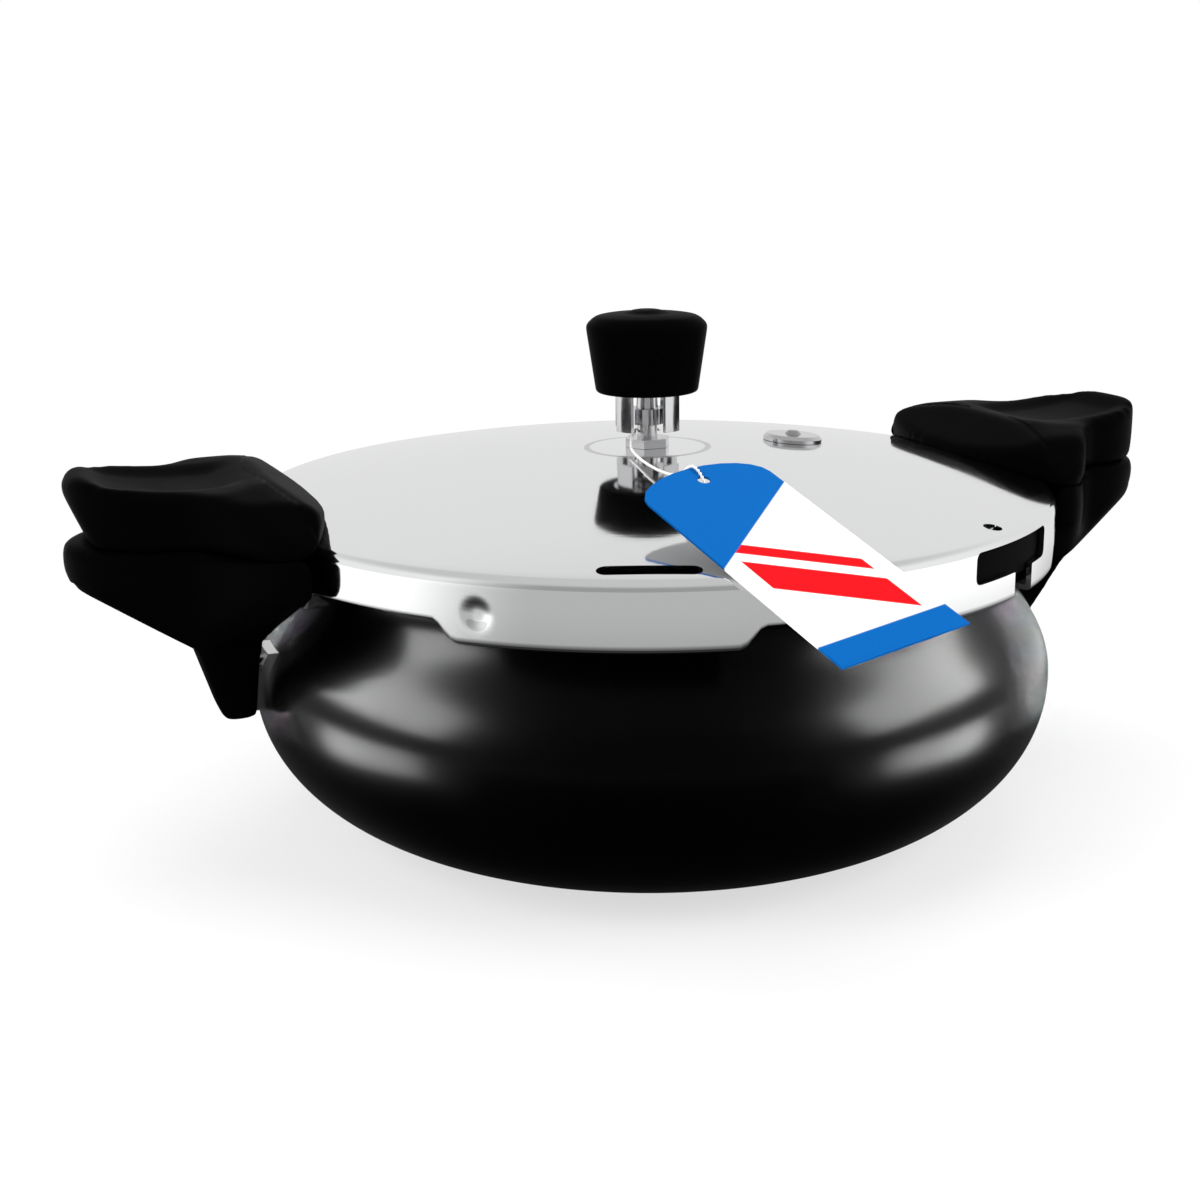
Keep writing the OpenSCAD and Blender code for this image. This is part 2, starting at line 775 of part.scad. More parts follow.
module tag_card() {
    color(card_blue)
        at_tag() linear_extrude(height = tag_t)
            difference() {
                polygon(concat(
                    [[tag_high, -tag_w / 2], [tag_low, -tag_w / 2],
                     [tag_low, tag_w / 2], [tag_high, tag_w / 2]],
                    [for (i = [1:facets - 1])
                        let (a = 180 * i / facets)
                        [tag_high - tag_head_l * sin(a), tag_w / 2 * cos(a)]]));
                translate(tag_hole) circle(d = tag_hole_d);
            }
}

module tag_thread() {
    color(thread_white)
        translate([0, 0, lid_top_z]) swept_tube(smooth_route(thread_route, 4), thread_d / 2, 8);
}

// A smooth curve through the points of a route, with so many steps between each two points
function smooth_route(p, steps) =
    let (n = len(p) - 1)
    concat([for (i = [0:n - 1], s = [0:steps - 1])
        let (t = s / steps, a = p[max(i - 1, 0)], b = p[i], c = p[i + 1], d = p[min(i + 2, n)])
        0.5 * (2 * b + (c - a) * t + (2 * a - 5 * b + 4 * c - d) * t * t
               + (3 * b - a - 3 * c + d) * t * t * t)], [p[n]]);

function unit(v) = v / norm(v);

// A round tube along a route: rings square to it, joined by quads, with flat ends
module swept_tube(route, r, sides) {
    n = len(route);
    rings = [for (i = [0:n - 1])
        let (along = unit(route[min(i + 1, n - 1)] - route[max(i - 1, 0)]),
             side = unit(cross(along, [0.31, 0.17, 0.94])),
             up = cross(side, along))
        for (k = [0:sides - 1])
            let (a = 360 * k / sides)
            route[i] + r * (cos(a) * side + sin(a) * up)];
    faces = concat(
        [[for (k = [0:sides - 1]) k]],
        [for (i = [0:n - 2], k = [0:sides - 1])
            let (a = i * sides + k, b = i * sides + (k + 1) % sides)
            [a, a + sides, b + sides, b]],
        [[for (k = [sides - 1:-1:0]) (n - 1) * sides + k]]);
    polyhedron(points = rings, faces = faces);
}

module left() {
    rotate([0, 0, 180]) children();
}

pot_body();
pot_bracket();  // pot_bracket_right
left() pot_bracket();  // pot_bracket_left
bracket_rivets();  // bracket_rivets_right
left() bracket_rivets();  // bracket_rivets_left
pot_handle();  // pot_handle_right
left() pot_handle();  // pot_handle_left
pot_handle_screw();  // pot_handle_screw_right
left() pot_handle_screw();  // pot_handle_screw_left
lid_shell();
lid_bracket();  // lid_bracket_right
left() lid_bracket();  // lid_bracket_left
lid_handle();  // lid_handle_right
left() lid_handle();  // lid_handle_left
lid_handle_screws();  // lid_handle_screws_right
left() lid_handle_screws();  // lid_handle_screws_left
gasket();
vent_tube();
vent_washer();
vent_nut();
safety_plug();
fusible_core();
plug_washer();
plug_nut();
weight_knob();
weight_sleeve();
weight_core();
tag_card();
tag_thread();
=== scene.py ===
"""The looks of a stovetop pressure cooker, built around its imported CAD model.

Metres. The frame is the CAD model's own: the origin is the centre of the base on the resting plane,
+X runs along the handles and +Z is up. Directions round the axis are degrees from +X. Turned and
moulded shapes are modelled here as smooth meshes that stand for their CAD nodes, and small metal
parts keep their CAD meshes and get a finish.
"""

from __future__ import annotations

import json
import logging
import math
from dataclasses import dataclass
from enum import Enum
from typing import Sequence

import bmesh
import bpy
from mathutils import Euler, Matrix, Vector

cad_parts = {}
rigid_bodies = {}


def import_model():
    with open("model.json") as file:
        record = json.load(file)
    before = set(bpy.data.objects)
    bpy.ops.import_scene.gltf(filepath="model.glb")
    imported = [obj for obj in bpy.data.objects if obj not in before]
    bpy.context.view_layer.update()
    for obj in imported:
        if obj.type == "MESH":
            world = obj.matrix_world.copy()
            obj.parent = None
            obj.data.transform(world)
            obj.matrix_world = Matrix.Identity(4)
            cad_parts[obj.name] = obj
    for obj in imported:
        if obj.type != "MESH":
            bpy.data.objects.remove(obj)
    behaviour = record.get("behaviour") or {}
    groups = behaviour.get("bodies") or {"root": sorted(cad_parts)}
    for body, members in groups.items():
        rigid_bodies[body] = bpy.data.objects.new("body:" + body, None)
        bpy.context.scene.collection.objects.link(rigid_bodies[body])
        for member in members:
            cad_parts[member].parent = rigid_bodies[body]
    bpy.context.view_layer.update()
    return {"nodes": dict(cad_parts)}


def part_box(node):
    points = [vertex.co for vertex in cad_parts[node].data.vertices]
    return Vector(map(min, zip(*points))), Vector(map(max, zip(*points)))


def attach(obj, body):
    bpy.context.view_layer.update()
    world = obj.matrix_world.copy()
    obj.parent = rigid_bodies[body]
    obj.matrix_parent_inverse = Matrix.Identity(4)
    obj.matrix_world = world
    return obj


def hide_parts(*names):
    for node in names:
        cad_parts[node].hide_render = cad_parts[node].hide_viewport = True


log = logging.getLogger("pressure_cooker")

MM = 0.001
TINY = 1e-6  # a length that counts as none
WHITE = (1.0, 1.0, 1.0, 1.0)
Outline = list[tuple[float, float]]
Colour = tuple[float, float, float]


class Body(Enum):
    """The CAD bodies that pieces ride on."""

    POT = "pot"
    LID = "lid"
    WEIGHT = "weight"


# ---------- outlines and meshes ----------


def mix(a: float, b: float, t: float) -> float:
    """Straight blend from a, at t = 0, to b, at t = 1."""
    return a + (b - a) * t


def smooth_share(value: float, low: float, high: float) -> float:
    """A value's share of the way from low to high, eased at both ends and held between 0 and 1."""
    t = min(1.0, max(0.0, (value - low) / (high - low)))
    return t * t * (3 - 2 * t)


def arc(centre: tuple[float, float], radius: float, start: float, end: float, steps: int) -> Outline:
    """An arc.

    Args:
        centre: Its centre.
        radius: Its radius.
        start: Direction of its first point from the centre, in radians.
        end: Direction of its last point, in radians.
        steps: Stretches between its points.

    Returns:
        The arc's points.
    """
    turns = [mix(start, end, i / steps) for i in range(steps + 1)]
    return [(centre[0] + radius * math.cos(a), centre[1] + radius * math.sin(a)) for a in turns]


def rounded(corners: Sequence[tuple[float, float, float]], steps: int = 5) -> Outline:
    """An outline through corners, each rounded by its own radius.

    Args:
        corners: Points as (x, y, radius); the first and last stay sharp.
        steps: Points in each rounded corner, less one.

    Returns:
        The outline's points.
    """
    most = 0.49  # the share of a side that one corner may take up
    points: Outline = [corners[0][:2]]
    for before, here, after in zip(corners, corners[1:], corners[2:]):
        corner = Vector(here[:2])
        back = Vector(before[:2]) - corner
        on = Vector(after[:2]) - corner
        reach = min(here[2], most * back.length, most * on.length)
        if reach < TINY:
            points.append(here[:2])
            continue
        start = corner + back.normalized() * reach
        end = corner + on.normalized() * reach
        for i in range(steps + 1):
            t = i / steps
            p = start * (1 - t) ** 2 + corner * (2 * t * (1 - t)) + end * t**2
            points.append((p.x, p.y))
    points.append(corners[-1][:2])
    return points


def new_object(name: str, data: bpy.types.ID) -> bpy.types.Object:
    """Puts a mesh, a camera or a lamp in the scene, as an object at the origin.

    Args:
        name: The object's name.
        data: What it shows. A mesh is already in place.

    Returns:
        The object.
    """
    obj = bpy.data.objects.new(name, data)
    bpy.context.scene.collection.objects.link(obj)
    return obj


def shade(mesh: bpy.types.Mesh, sharp_deg: float = 38.0) -> None:
    """Shades a mesh smooth, but for edges sharper than an angle."""
    mesh.shade_smooth()
    mesh.set_sharp_from_angle(angle=math.radians(sharp_deg))


def as_mesh(bm: bmesh.types.BMesh, name: str) -> bpy.types.Mesh:
    """Writes out a mesh that is being worked on.

    Args:
        bm: The work, which is freed.
        name: The mesh's name.

    Returns:
        The mesh.
    """
    mesh = bpy.data.meshes.new(name)
    bm.to_mesh(mesh)
    bm.free()
    return mesh


def turned(outline: Outline, name: str, segments: int = 128, base_z: float = 0.0) -> bpy.types.Object:
    """A piece turned about the +Z axis, with its faces pointing outwards.

    Args:
        outline: Points (radius, height), from the axis back to the axis.
        name: The piece's name.
        segments: Points around the axis.
        base_z: Height that is added to every point.

    Returns:
        The piece.
    """
    turns = [2 * math.pi * i / segments for i in range(segments)]
    bm = bmesh.new()
    rings = []
    for r, height in outline:
        z = base_z + height
        places = [(0, 0, z)] if r < TINY else [(r * math.cos(a), r * math.sin(a), z) for a in turns]
        rings.append([bm.verts.new(p) for p in places])
    for low, high in zip(rings, rings[1:]):
        for i in range(segments):
            j = (i + 1) % segments
            if len(low) == 1:
                bm.faces.new((low[0], high[j], high[i]))
            elif len(high) == 1:
                bm.faces.new((low[i], low[j], high[0]))
            else:
                bm.faces.new((low[i], low[j], high[j], high[i]))
    bmesh.ops.recalc_face_normals(bm, faces=bm.faces)
    mesh = as_mesh(bm, name)
    shade(mesh, 50.0)
    return new_object(name, mesh)


def prism(outline: Outline, low: float, high: float, name: str) -> bpy.types.Mesh:
    """An upright prism.

    Args:
        outline: Its plan, as points (x, y).
        low: Height of its lower face.
        high: Height of its upper face.
        name: The mesh's name.

    Returns:
        The mesh, with its faces pointing outwards.
    """
    bm = bmesh.new()
    base = bm.faces.new([bm.verts.new((x, y, low)) for x, y in outline])
    top = bmesh.ops.extrude_face_region(bm, geom=[base])
    moved = [v for v in top["geom"] if isinstance(v, bmesh.types.BMVert)]
    bmesh.ops.translate(bm, verts=moved, vec=(0, 0, high - low))
    bmesh.ops.recalc_face_normals(bm, faces=bm.faces)
    return as_mesh(bm, name)


def joined(meshes: Sequence[bpy.types.Mesh], name: str) -> bpy.types.Mesh:
    """One mesh from several.

    Args:
        meshes: The meshes to join.
        name: The new mesh's name.

    Returns:
        The joined mesh.
    """
    bm = bmesh.new()
    for mesh in meshes:
        bm.from_mesh(mesh)
    return as_mesh(bm, name)


def bake(obj: bpy.types.Object) -> bpy.types.Object:
    """Turns an object's modifiers into its mesh.

    Args:
        obj: The object to bake.

    Returns:
        The same object, without modifiers.
    """
    graph = bpy.context.evaluated_depsgraph_get()
    mesh = bpy.data.meshes.new_from_object(obj.evaluated_get(graph))
    obj.modifiers.clear()
    obj.data = mesh
    return obj


def around_axis(mesh: bpy.types.Mesh, degrees: float) -> bpy.types.Mesh:
    """Turns a mesh about the +Z axis, and gives it back."""
    mesh.transform(Matrix.Rotation(math.radians(degrees), 4, "Z"))
    return mesh


# ---------- node trees ----------


class Sheet:
    """A node tree under construction, with short ways to add and wire nodes."""

    def __init__(self, tree: bpy.types.NodeTree) -> None:
        """Starts on a tree, such as a material's or a group's."""
        self.tree = tree

    def add(self, kind: str, inputs: dict | None = None, **settings: object) -> bpy.types.Node:
        """Adds a node.

        Args:
            kind: The node's type name.
            inputs: Input name or index to a plain value or another node's output.
            settings: The node's own properties.

        Returns:
            The node.
        """
        node = self.tree.nodes.new(kind)
        for name, value in settings.items():
            setattr(node, name, value)
        self.feed(node, inputs or {})
        return node

    def feed(self, node: bpy.types.Node, inputs: dict) -> None:
        """Gives a node its inputs.

        Args:
            node: The node.
            inputs: Input name or index to a plain value or another node's output.
        """
        for key, value in inputs.items():
            if isinstance(value, bpy.types.NodeSocket):
                self.tree.links.new(value, node.inputs[key])
            else:
                node.inputs[key].default_value = value

    def math(self, operation: str, *values: object, clamp: bool = False) -> bpy.types.NodeSocket:
        """Adds a Math node on numbers or sockets, and gives its output."""
        inputs = dict(enumerate(values))
        return self.add("ShaderNodeMath", inputs, operation=operation, use_clamp=clamp).outputs[0]

    def place(self) -> bpy.types.NodeSocket:
        """Adds Object coordinates and gives their output."""
        return self.add("ShaderNodeTexCoord").outputs["Object"]

    def dot(self, a: object, b: object) -> bpy.types.NodeSocket:
        """Adds the dot product of two vectors and gives its output."""
        return self.add("ShaderNodeVectorMath", {0: a, 1: b}, operation="DOT_PRODUCT").outputs["Value"]

    def ramp(self, value: object, low: float, high: float, start: float = 0.0,
             end: float = 1.0) -> bpy.types.NodeSocket:
        """Maps a value's range to another range, eased at both ends.

        Args:
            value: The socket to map.
            low: Value that gives start.
            high: Value that gives end.
            start: Result at low.
            end: Result at high.

        Returns:
            The mapped value.
        """
        node = self.add("ShaderNodeMapRange", {0: value, 1: low, 2: high, 3: start, 4: end},
                        interpolation_type="SMOOTHSTEP")
        return node.outputs[0]

    def blend(self, share: object, a: object, b: object) -> bpy.types.NodeSocket:
        """Blends two colours.

        Args:
            share: Share of the second colour.
            a: First colour.
            b: Second colour.

        Returns:
            The blended colour.
        """
        first, second = (c if isinstance(c, bpy.types.NodeSocket) else (*c, 1.0) for c in (a, b))
        return self.add("ShaderNodeMix", {0: share, 6: first, 7: second}, data_type="RGBA").outputs[2]


class Groups:
    """The shader node groups that several finishes share, each built once."""

    def __init__(self) -> None:
        """Builds every group."""
        self.grain = self._grain()
        self.handling = self._handling()

    @staticmethod
    def _start(name: str, inputs: dict[str, float],
               outputs: Sequence[str]) -> tuple[Sheet, dict, bpy.types.Node]:
        """A new group with float inputs and outputs.

        Args:
            name: The group's name.
            inputs: Input names with their defaults.
            outputs: Output names.

        Returns:
            The group's sheet, its input sockets by name, and its output node.
        """
        tree = bpy.data.node_groups.new(name, "ShaderNodeTree")
        for label, value in inputs.items():
            socket = tree.interface.new_socket(label, in_out="INPUT", socket_type="NodeSocketFloat")
            socket.default_value = value
        for label in outputs:
            tree.interface.new_socket(label, in_out="OUTPUT", socket_type="NodeSocketFloat")
        sheet = Sheet(tree)
        inside = sheet.add("NodeGroupInput").outputs
        return sheet, {label: inside[label] for label in inputs}, sheet.add("NodeGroupOutput")

    def _grain(self) -> bpy.types.NodeTree:
        """Fine all-over grain: a height for bump, and a roughness that varies a little.

        Returns:
            The group.
        """
        defaults = {"Scale": 600.0, "Roughness": 0.3, "Variation": 0.05}
        sheet, given, out = self._start("Fine grain", defaults, ("Roughness", "Height"))
        fine = sheet.add("ShaderNodeTexNoise",
                         {"Vector": sheet.place(), "Scale": given["Scale"], "Detail": 3.0})
        spread = sheet.math("SUBTRACT", fine.outputs[0], 0.5)
        offset = sheet.math("MULTIPLY", spread, given["Variation"])
        rough = sheet.math("ADD", given["Roughness"], offset, clamp=True)
        sheet.feed(out, {"Roughness": rough, "Height": fine.outputs[0]})
        return sheet.tree

    def _handling(self) -> bpy.types.NodeTree:
        """Large faint smears from handling and wiping, as a mask.

        Returns:
            The group.
        """
        sheet, given, out = self._start("Handling smears", {"Scale": 28.0, "Amount": 0.5}, ("Mask",))
        broad = sheet.add("ShaderNodeTexNoise", {"Vector": sheet.place(), "Scale": given["Scale"],
                                                 "Detail": 4.0, "Distortion": 0.8})
        smear = sheet.ramp(broad.outputs[0], 0.45, 0.75)
        sheet.feed(out, {"Mask": sheet.math("MULTIPLY", smear, given["Amount"])})
        return sheet.tree


@dataclass(frozen=True)
class Finish:
    """A surface finish with fine grain and faint handling smears."""

    name: str
    colour: Colour
    roughness: float
    metallic: float = 0.0
    grain_scale: float = 600.0
    grain_height: float = 0.02 * MM
    variation: float = 0.06
    smears: float = 0.05
    specular: float = 0.5

    def start(self, groups: Groups) -> tuple[bpy.types.Material, Sheet, bpy.types.Node, dict]:
        """Makes the material with everything but its colour pattern.

        Args:
            groups: The shared node groups.

        Returns:
            The material, its sheet, its shader, and what feeds the shader's inputs by name.
        """
        material = bpy.data.materials.new(self.name)
        material.use_nodes = True
        sheet = Sheet(material.node_tree)
        shader = material.node_tree.nodes["Principled BSDF"]
        sheet.feed(shader, {"Base Color": (*self.colour, 1.0), "Metallic": self.metallic,
                            "Specular IOR Level": self.specular})
        grain = sheet.add("ShaderNodeGroup", node_tree=groups.grain)
        sheet.feed(grain, {"Scale": self.grain_scale, "Roughness": self.roughness,
                           "Variation": self.variation})
        smears = sheet.add("ShaderNodeGroup", node_tree=groups.handling)
        sheet.feed(smears, {"Amount": self.smears})
        rough = sheet.math("ADD", grain.outputs["Roughness"], smears.outputs["Mask"], clamp=True)
        bump = sheet.add("ShaderNodeBump", {"Height": grain.outputs["Height"], "Distance": self.grain_height})
        made = {"Roughness": rough, "Normal": bump.outputs[0]}
        sheet.feed(shader, made)
        return material, sheet, shader, made

    def material(self, groups: Groups) -> bpy.types.Material:
        """Makes the plain material from the shared groups."""
        return self.start(groups)[0]


@dataclass(frozen=True)
class PolishedLid(Finish):
    """Polished sheet with faint turning marks and an etched plain ring round the vent."""

    ring_r: float = 18 * MM
    ring_w: float = 1.2 * MM
    etched_tone: float = 0.75
    etched_roughness: float = 0.25
    marks_scale: float = 900.0
    marks_height: float = 0.004 * MM

    def material(self, groups: Groups) -> bpy.types.Material:
        """Makes the material.

        Args:
            groups: The shared node groups.

        Returns:
            The material.
        """
        material, sheet, shader, made = self.start(groups)
        axis = sheet.add("ShaderNodeSeparateXYZ", {0: sheet.place()})
        across = sheet.math("MULTIPLY", axis.outputs[0], axis.outputs[0])
        along = sheet.math("MULTIPLY", axis.outputs[1], axis.outputs[1])
        radius = sheet.math("SQRT", sheet.math("ADD", across, along))
        away = sheet.math("ABSOLUTE", sheet.math("SUBTRACT", radius, self.ring_r))
        ring = sheet.ramp(away, self.ring_w / 2, self.ring_w, 1.0, 0.0)
        marks = sheet.add("ShaderNodeTexNoise", {"W": sheet.math("MULTIPLY", radius, self.marks_scale),
                                                 "Scale": 1.0, "Detail": 2.0}, noise_dimensions="1D")
        turning = sheet.add("ShaderNodeBump", {"Height": marks.outputs[0], "Distance": self.marks_height,
                                               "Normal": made["Normal"]})
        etched = tuple(self.etched_tone * c for c in self.colour)
        rougher = sheet.math("MULTIPLY", ring, self.etched_roughness)
        sheet.feed(shader, {"Normal": turning.outputs[0],
                            "Base Color": sheet.blend(ring, self.colour, etched),
                            "Roughness": sheet.math("ADD", made["Roughness"], rougher, clamp=True)})
        return material


@dataclass(frozen=True)
class PrintedCard(Finish):
    """Coated card, printed on its face: a blue head, a white field with red bars, and a blue foot.

    The pivot and the turn are the card's own place, and low is how far its foot lies from the pivot.
    The head, the foot and the bars are shares of the card's length, and the ends of its width.
    """

    white: Colour = (0.9, 0.9, 0.9)
    red: Colour = (0.6, 0.004, 0.008)
    pivot: tuple[float, float, float] = (-4.9 * MM, -118.6 * MM, 96.4 * MM)
    turn_deg: tuple[float, float, float] = (6.2, 19.7, -75.1)
    length: float = 84.5 * MM
    width: float = 38.5 * MM
    low: float = 31.5 * MM
    head: float = 0.81
    head_slope: float = 0.3
    foot: float = 0.1
    bars: tuple[tuple[float, float], ...] = ((0.07, 0.22), (0.27, 0.33))
    bar_slope: float = 0.35
    bar_ends: tuple[float, float] = (0.14, 0.86)
    blur: float = 0.004

    def material(self, groups: Groups) -> bpy.types.Material:
        """Makes the material. U runs across the card and V from its foot to its head, both 0 to 1.

        Args:
            groups: The shared node groups.

        Returns:
            The material.
        """
        material, sheet, shader, _ = self.start(groups)
        turn = tuple(math.radians(a) for a in self.turn_deg)
        own = sheet.add("ShaderNodeMapping", {
            "Vector": sheet.place(), "Location": self.pivot, "Rotation": turn}, vector_type="TEXTURE")
        place = sheet.add("ShaderNodeSeparateXYZ", {0: own.outputs[0]}).outputs
        u = sheet.math("SUBTRACT", 0.5, sheet.math("DIVIDE", place[1], self.width))
        v = sheet.math("DIVIDE", sheet.math("SUBTRACT", self.low, place[0]), self.length)

        def over(value: object, level: float) -> bpy.types.NodeSocket:
            """A mask of where a value is above a level."""
            return sheet.ramp(value, level - self.blur, level + self.blur)

        def between(value: object, low: float, high: float) -> bpy.types.NodeSocket:
            """A mask of where a value lies between two levels."""
            return sheet.math("MULTIPLY", over(value, low), sheet.math("SUBTRACT", 1.0, over(value, high)))

        sloped = sheet.math("ADD", v, sheet.math("MULTIPLY", u, self.head_slope))
        foot = sheet.math("SUBTRACT", 1.0, over(v, self.foot))
        blue = sheet.math("MAXIMUM", over(sloped, self.head), foot)
        lean = sheet.math("SUBTRACT", v, sheet.math("MULTIPLY", u, self.bar_slope))
        bars = sheet.math("MAXIMUM", *(between(lean, *bar) for bar in self.bars))
        red = sheet.math("MULTIPLY", bars, between(u, *self.bar_ends))
        up = Euler(turn, "XYZ").to_matrix() @ Vector((0, 0, 1))
        normal = sheet.add("ShaderNodeNewGeometry").outputs["True Normal"]
        facing = sheet.dot(normal, up)
        front = sheet.math("GREATER_THAN", facing, -0.5)  # the back is white, and the edges are not
        printed = sheet.blend(blue, sheet.blend(red, self.white, self.red), self.colour)
        sheet.feed(shader, {"Base Color": sheet.blend(front, self.white, printed)})
        return material


class Finishes:
    """Every finish of the cooker, made once."""

    def __init__(self) -> None:
        """Builds the shared groups and every material."""
        groups = Groups()
        self.pot = Finish("black_anodised_pot", (0.0003, 0.0003, 0.0003), 0.23, grain_scale=1500.0,
                          grain_height=0.0015 * MM, smears=0.04, specular=0.05).material(groups)
        self.lid = PolishedLid("polished_lid", (0.88, 0.885, 0.89), 0.07, metallic=1.0, grain_scale=900.0,
                               grain_height=0.002 * MM, variation=0.03, smears=0.03).material(groups)
        self.bakelite = Finish("black_bakelite", (0.0009, 0.0009, 0.0009), 0.42, grain_scale=1800.0,
                               grain_height=0.004 * MM, smears=0.04, specular=0.005).material(groups)
        self.steel = Finish("turned_steel", (0.6, 0.6, 0.61), 0.13, metallic=1.0, grain_scale=900.0,
                            grain_height=0.006 * MM, smears=0.05).material(groups)
        self.rivet = Finish("rivet_aluminium", (0.72, 0.73, 0.74), 0.38, metallic=1.0).material(groups)
        self.plated = Finish("dull_plating", (0.42, 0.42, 0.43), 0.4, metallic=1.0).material(groups)
        self.rubber = Finish("gasket_rubber", (0.001, 0.001, 0.001), 0.6, grain_height=0.05 * MM,
                             specular=0.02).material(groups)
        self.card = PrintedCard("printed_card", (0.0, 0.098, 0.36), 0.4, grain_scale=1200.0,
                                grain_height=0.006 * MM, smears=0.05, specular=0.02).material(groups)
        self.thread = Finish("cotton_thread", (0.86, 0.86, 0.84), 0.85, grain_scale=5200.0,
                             grain_height=0.06 * MM, specular=0.2).material(groups)


# ---------- geometry node trees ----------


class RepeatTree:
    """A Geometry Nodes tree with named inputs that ends in Realize Instances and Set Material."""

    def __init__(self, name: str) -> None:
        """Starts a tree with a geometry input and output.

        Args:
            name: The tree's name.
        """
        self.tree = bpy.data.node_groups.new(name, "GeometryNodeTree")
        self.sheet = Sheet(self.tree)
        self.identifiers: dict[str, str] = {}
        self._socket("Geometry", "NodeSocketGeometry", "INPUT")
        self._socket("Geometry", "NodeSocketGeometry", "OUTPUT")

    def _socket(self, name: str, kind: str, side: str) -> None:
        """Adds a socket to the tree's interface.

        Args:
            name: The socket's name.
            kind: Its type name.
            side: INPUT or OUTPUT.
        """
        socket = self.tree.interface.new_socket(name, in_out=side, socket_type=kind)
        if side == "INPUT":
            self.identifiers[name] = socket.identifier

    def sizes(self, **kinds: str) -> dict[str, bpy.types.NodeSocket]:
        """Adds named inputs, and a material input.

        Args:
            kinds: Input name to its short type, such as Float or Int.

        Returns:
            The input sockets by name.
        """
        for name, kind in kinds.items():
            self._socket(name, f"NodeSocket{kind}", "INPUT")
        self._socket("Material", "NodeSocketMaterial", "INPUT")
        outputs = self.sheet.add("NodeGroupInput").outputs
        return {name: outputs[name] for name in self.identifiers}

    def close(self, geometry: bpy.types.NodeSocket, material: bpy.types.NodeSocket) -> None:
        """Ends the tree with what it has made, in the material that is given to it.

        Args:
            geometry: What the tree has made.
            material: The material input.
        """
        real = self.sheet.add("GeometryNodeRealizeInstances", {0: geometry})
        dressed = self.sheet.add("GeometryNodeSetMaterial",
                                 {"Geometry": real.outputs[0], "Material": material})
        self.sheet.add("NodeGroupOutput", {"Geometry": dressed.outputs[0]})

    def apply(self, obj: bpy.types.Object, **values: object) -> bpy.types.Object:
        """Runs the tree on an object and keeps the result as its mesh.

        Args:
            obj: The object whose mesh goes in.
            values: Input name to value.

        Returns:
            The same object with its new mesh.
        """
        modifier = obj.modifiers.new(self.tree.name, "NODES")
        modifier.node_group = self.tree
        for name, value in values.items():
            modifier[self.identifiers[name]] = value
        return bake(obj)


def ring_of_copies() -> RepeatTree:
    """A tree that repeats a mesh around the +Z axis.

    Returns:
        The tree, with inputs Count and Start, in radians.
    """
    tree = RepeatTree("Ring of copies")
    given = tree.sizes(Count="Int", Start="Float")
    points = tree.sheet.add("GeometryNodePoints", {"Count": given["Count"]})
    index = tree.sheet.add("GeometryNodeInputIndex").outputs[0]
    pitch = tree.sheet.math("DIVIDE", 2 * math.pi, given["Count"])
    angle = tree.sheet.math("ADD", given["Start"], tree.sheet.math("MULTIPLY", index, pitch))
    turn = tree.sheet.add("ShaderNodeCombineXYZ", {"Z": angle})
    copies = tree.sheet.add("GeometryNodeInstanceOnPoints",
                            {"Points": points.outputs[0], "Instance": given["Geometry"],
                             "Rotation": turn.outputs[0]})
    tree.close(copies.outputs[0], given["Material"])
    return tree


def twisted_thread() -> RepeatTree:
    """A tree that lays two twisted plies along a path of edges.

    Returns:
        The tree, with inputs Ply radius, Step and Twist, in radians for each metre.
    """
    tree = RepeatTree("Twisted thread")
    given = tree.sizes(**{"Ply radius": "Float", "Step": "Float", "Twist": "Float"})
    sheet = tree.sheet
    path = sheet.add("GeometryNodeMeshToCurve", {0: given["Geometry"]})
    even = sheet.add("GeometryNodeResampleCurve", {"Curve": path.outputs[0], "Length": given["Step"]},
                     mode="LENGTH")
    along = sheet.add("GeometryNodeSplineParameter").outputs["Length"]
    tilt = sheet.math("MULTIPLY", along, given["Twist"])
    wound = sheet.add("GeometryNodeSetCurveTilt", {"Curve": even.outputs[0], "Tilt": tilt})
    join = sheet.add("GeometryNodeJoinGeometry")
    for side in (-1.0, 1.0):
        ply = sheet.add("GeometryNodeCurvePrimitiveCircle", {"Resolution": 8, "Radius": given["Ply radius"]})
        shift = sheet.add("ShaderNodeCombineXYZ", {"X": sheet.math("MULTIPLY", given["Ply radius"], side)})
        moved = sheet.add("GeometryNodeTransform", {"Geometry": ply.outputs[0],
                                                    "Translation": shift.outputs[0]})
        tree.tree.links.new(moved.outputs[0], join.inputs[0])
    swept = sheet.add("GeometryNodeCurveToMesh", {"Curve": wound.outputs[0], "Profile Curve": join.outputs[0],
                                                  "Fill Caps": True})
    soft = sheet.add("GeometryNodeSetShadeSmooth", {"Geometry": swept.outputs[0]})
    tree.close(soft.outputs[0], given["Material"])
    return tree


# ---------- the cooker ----------


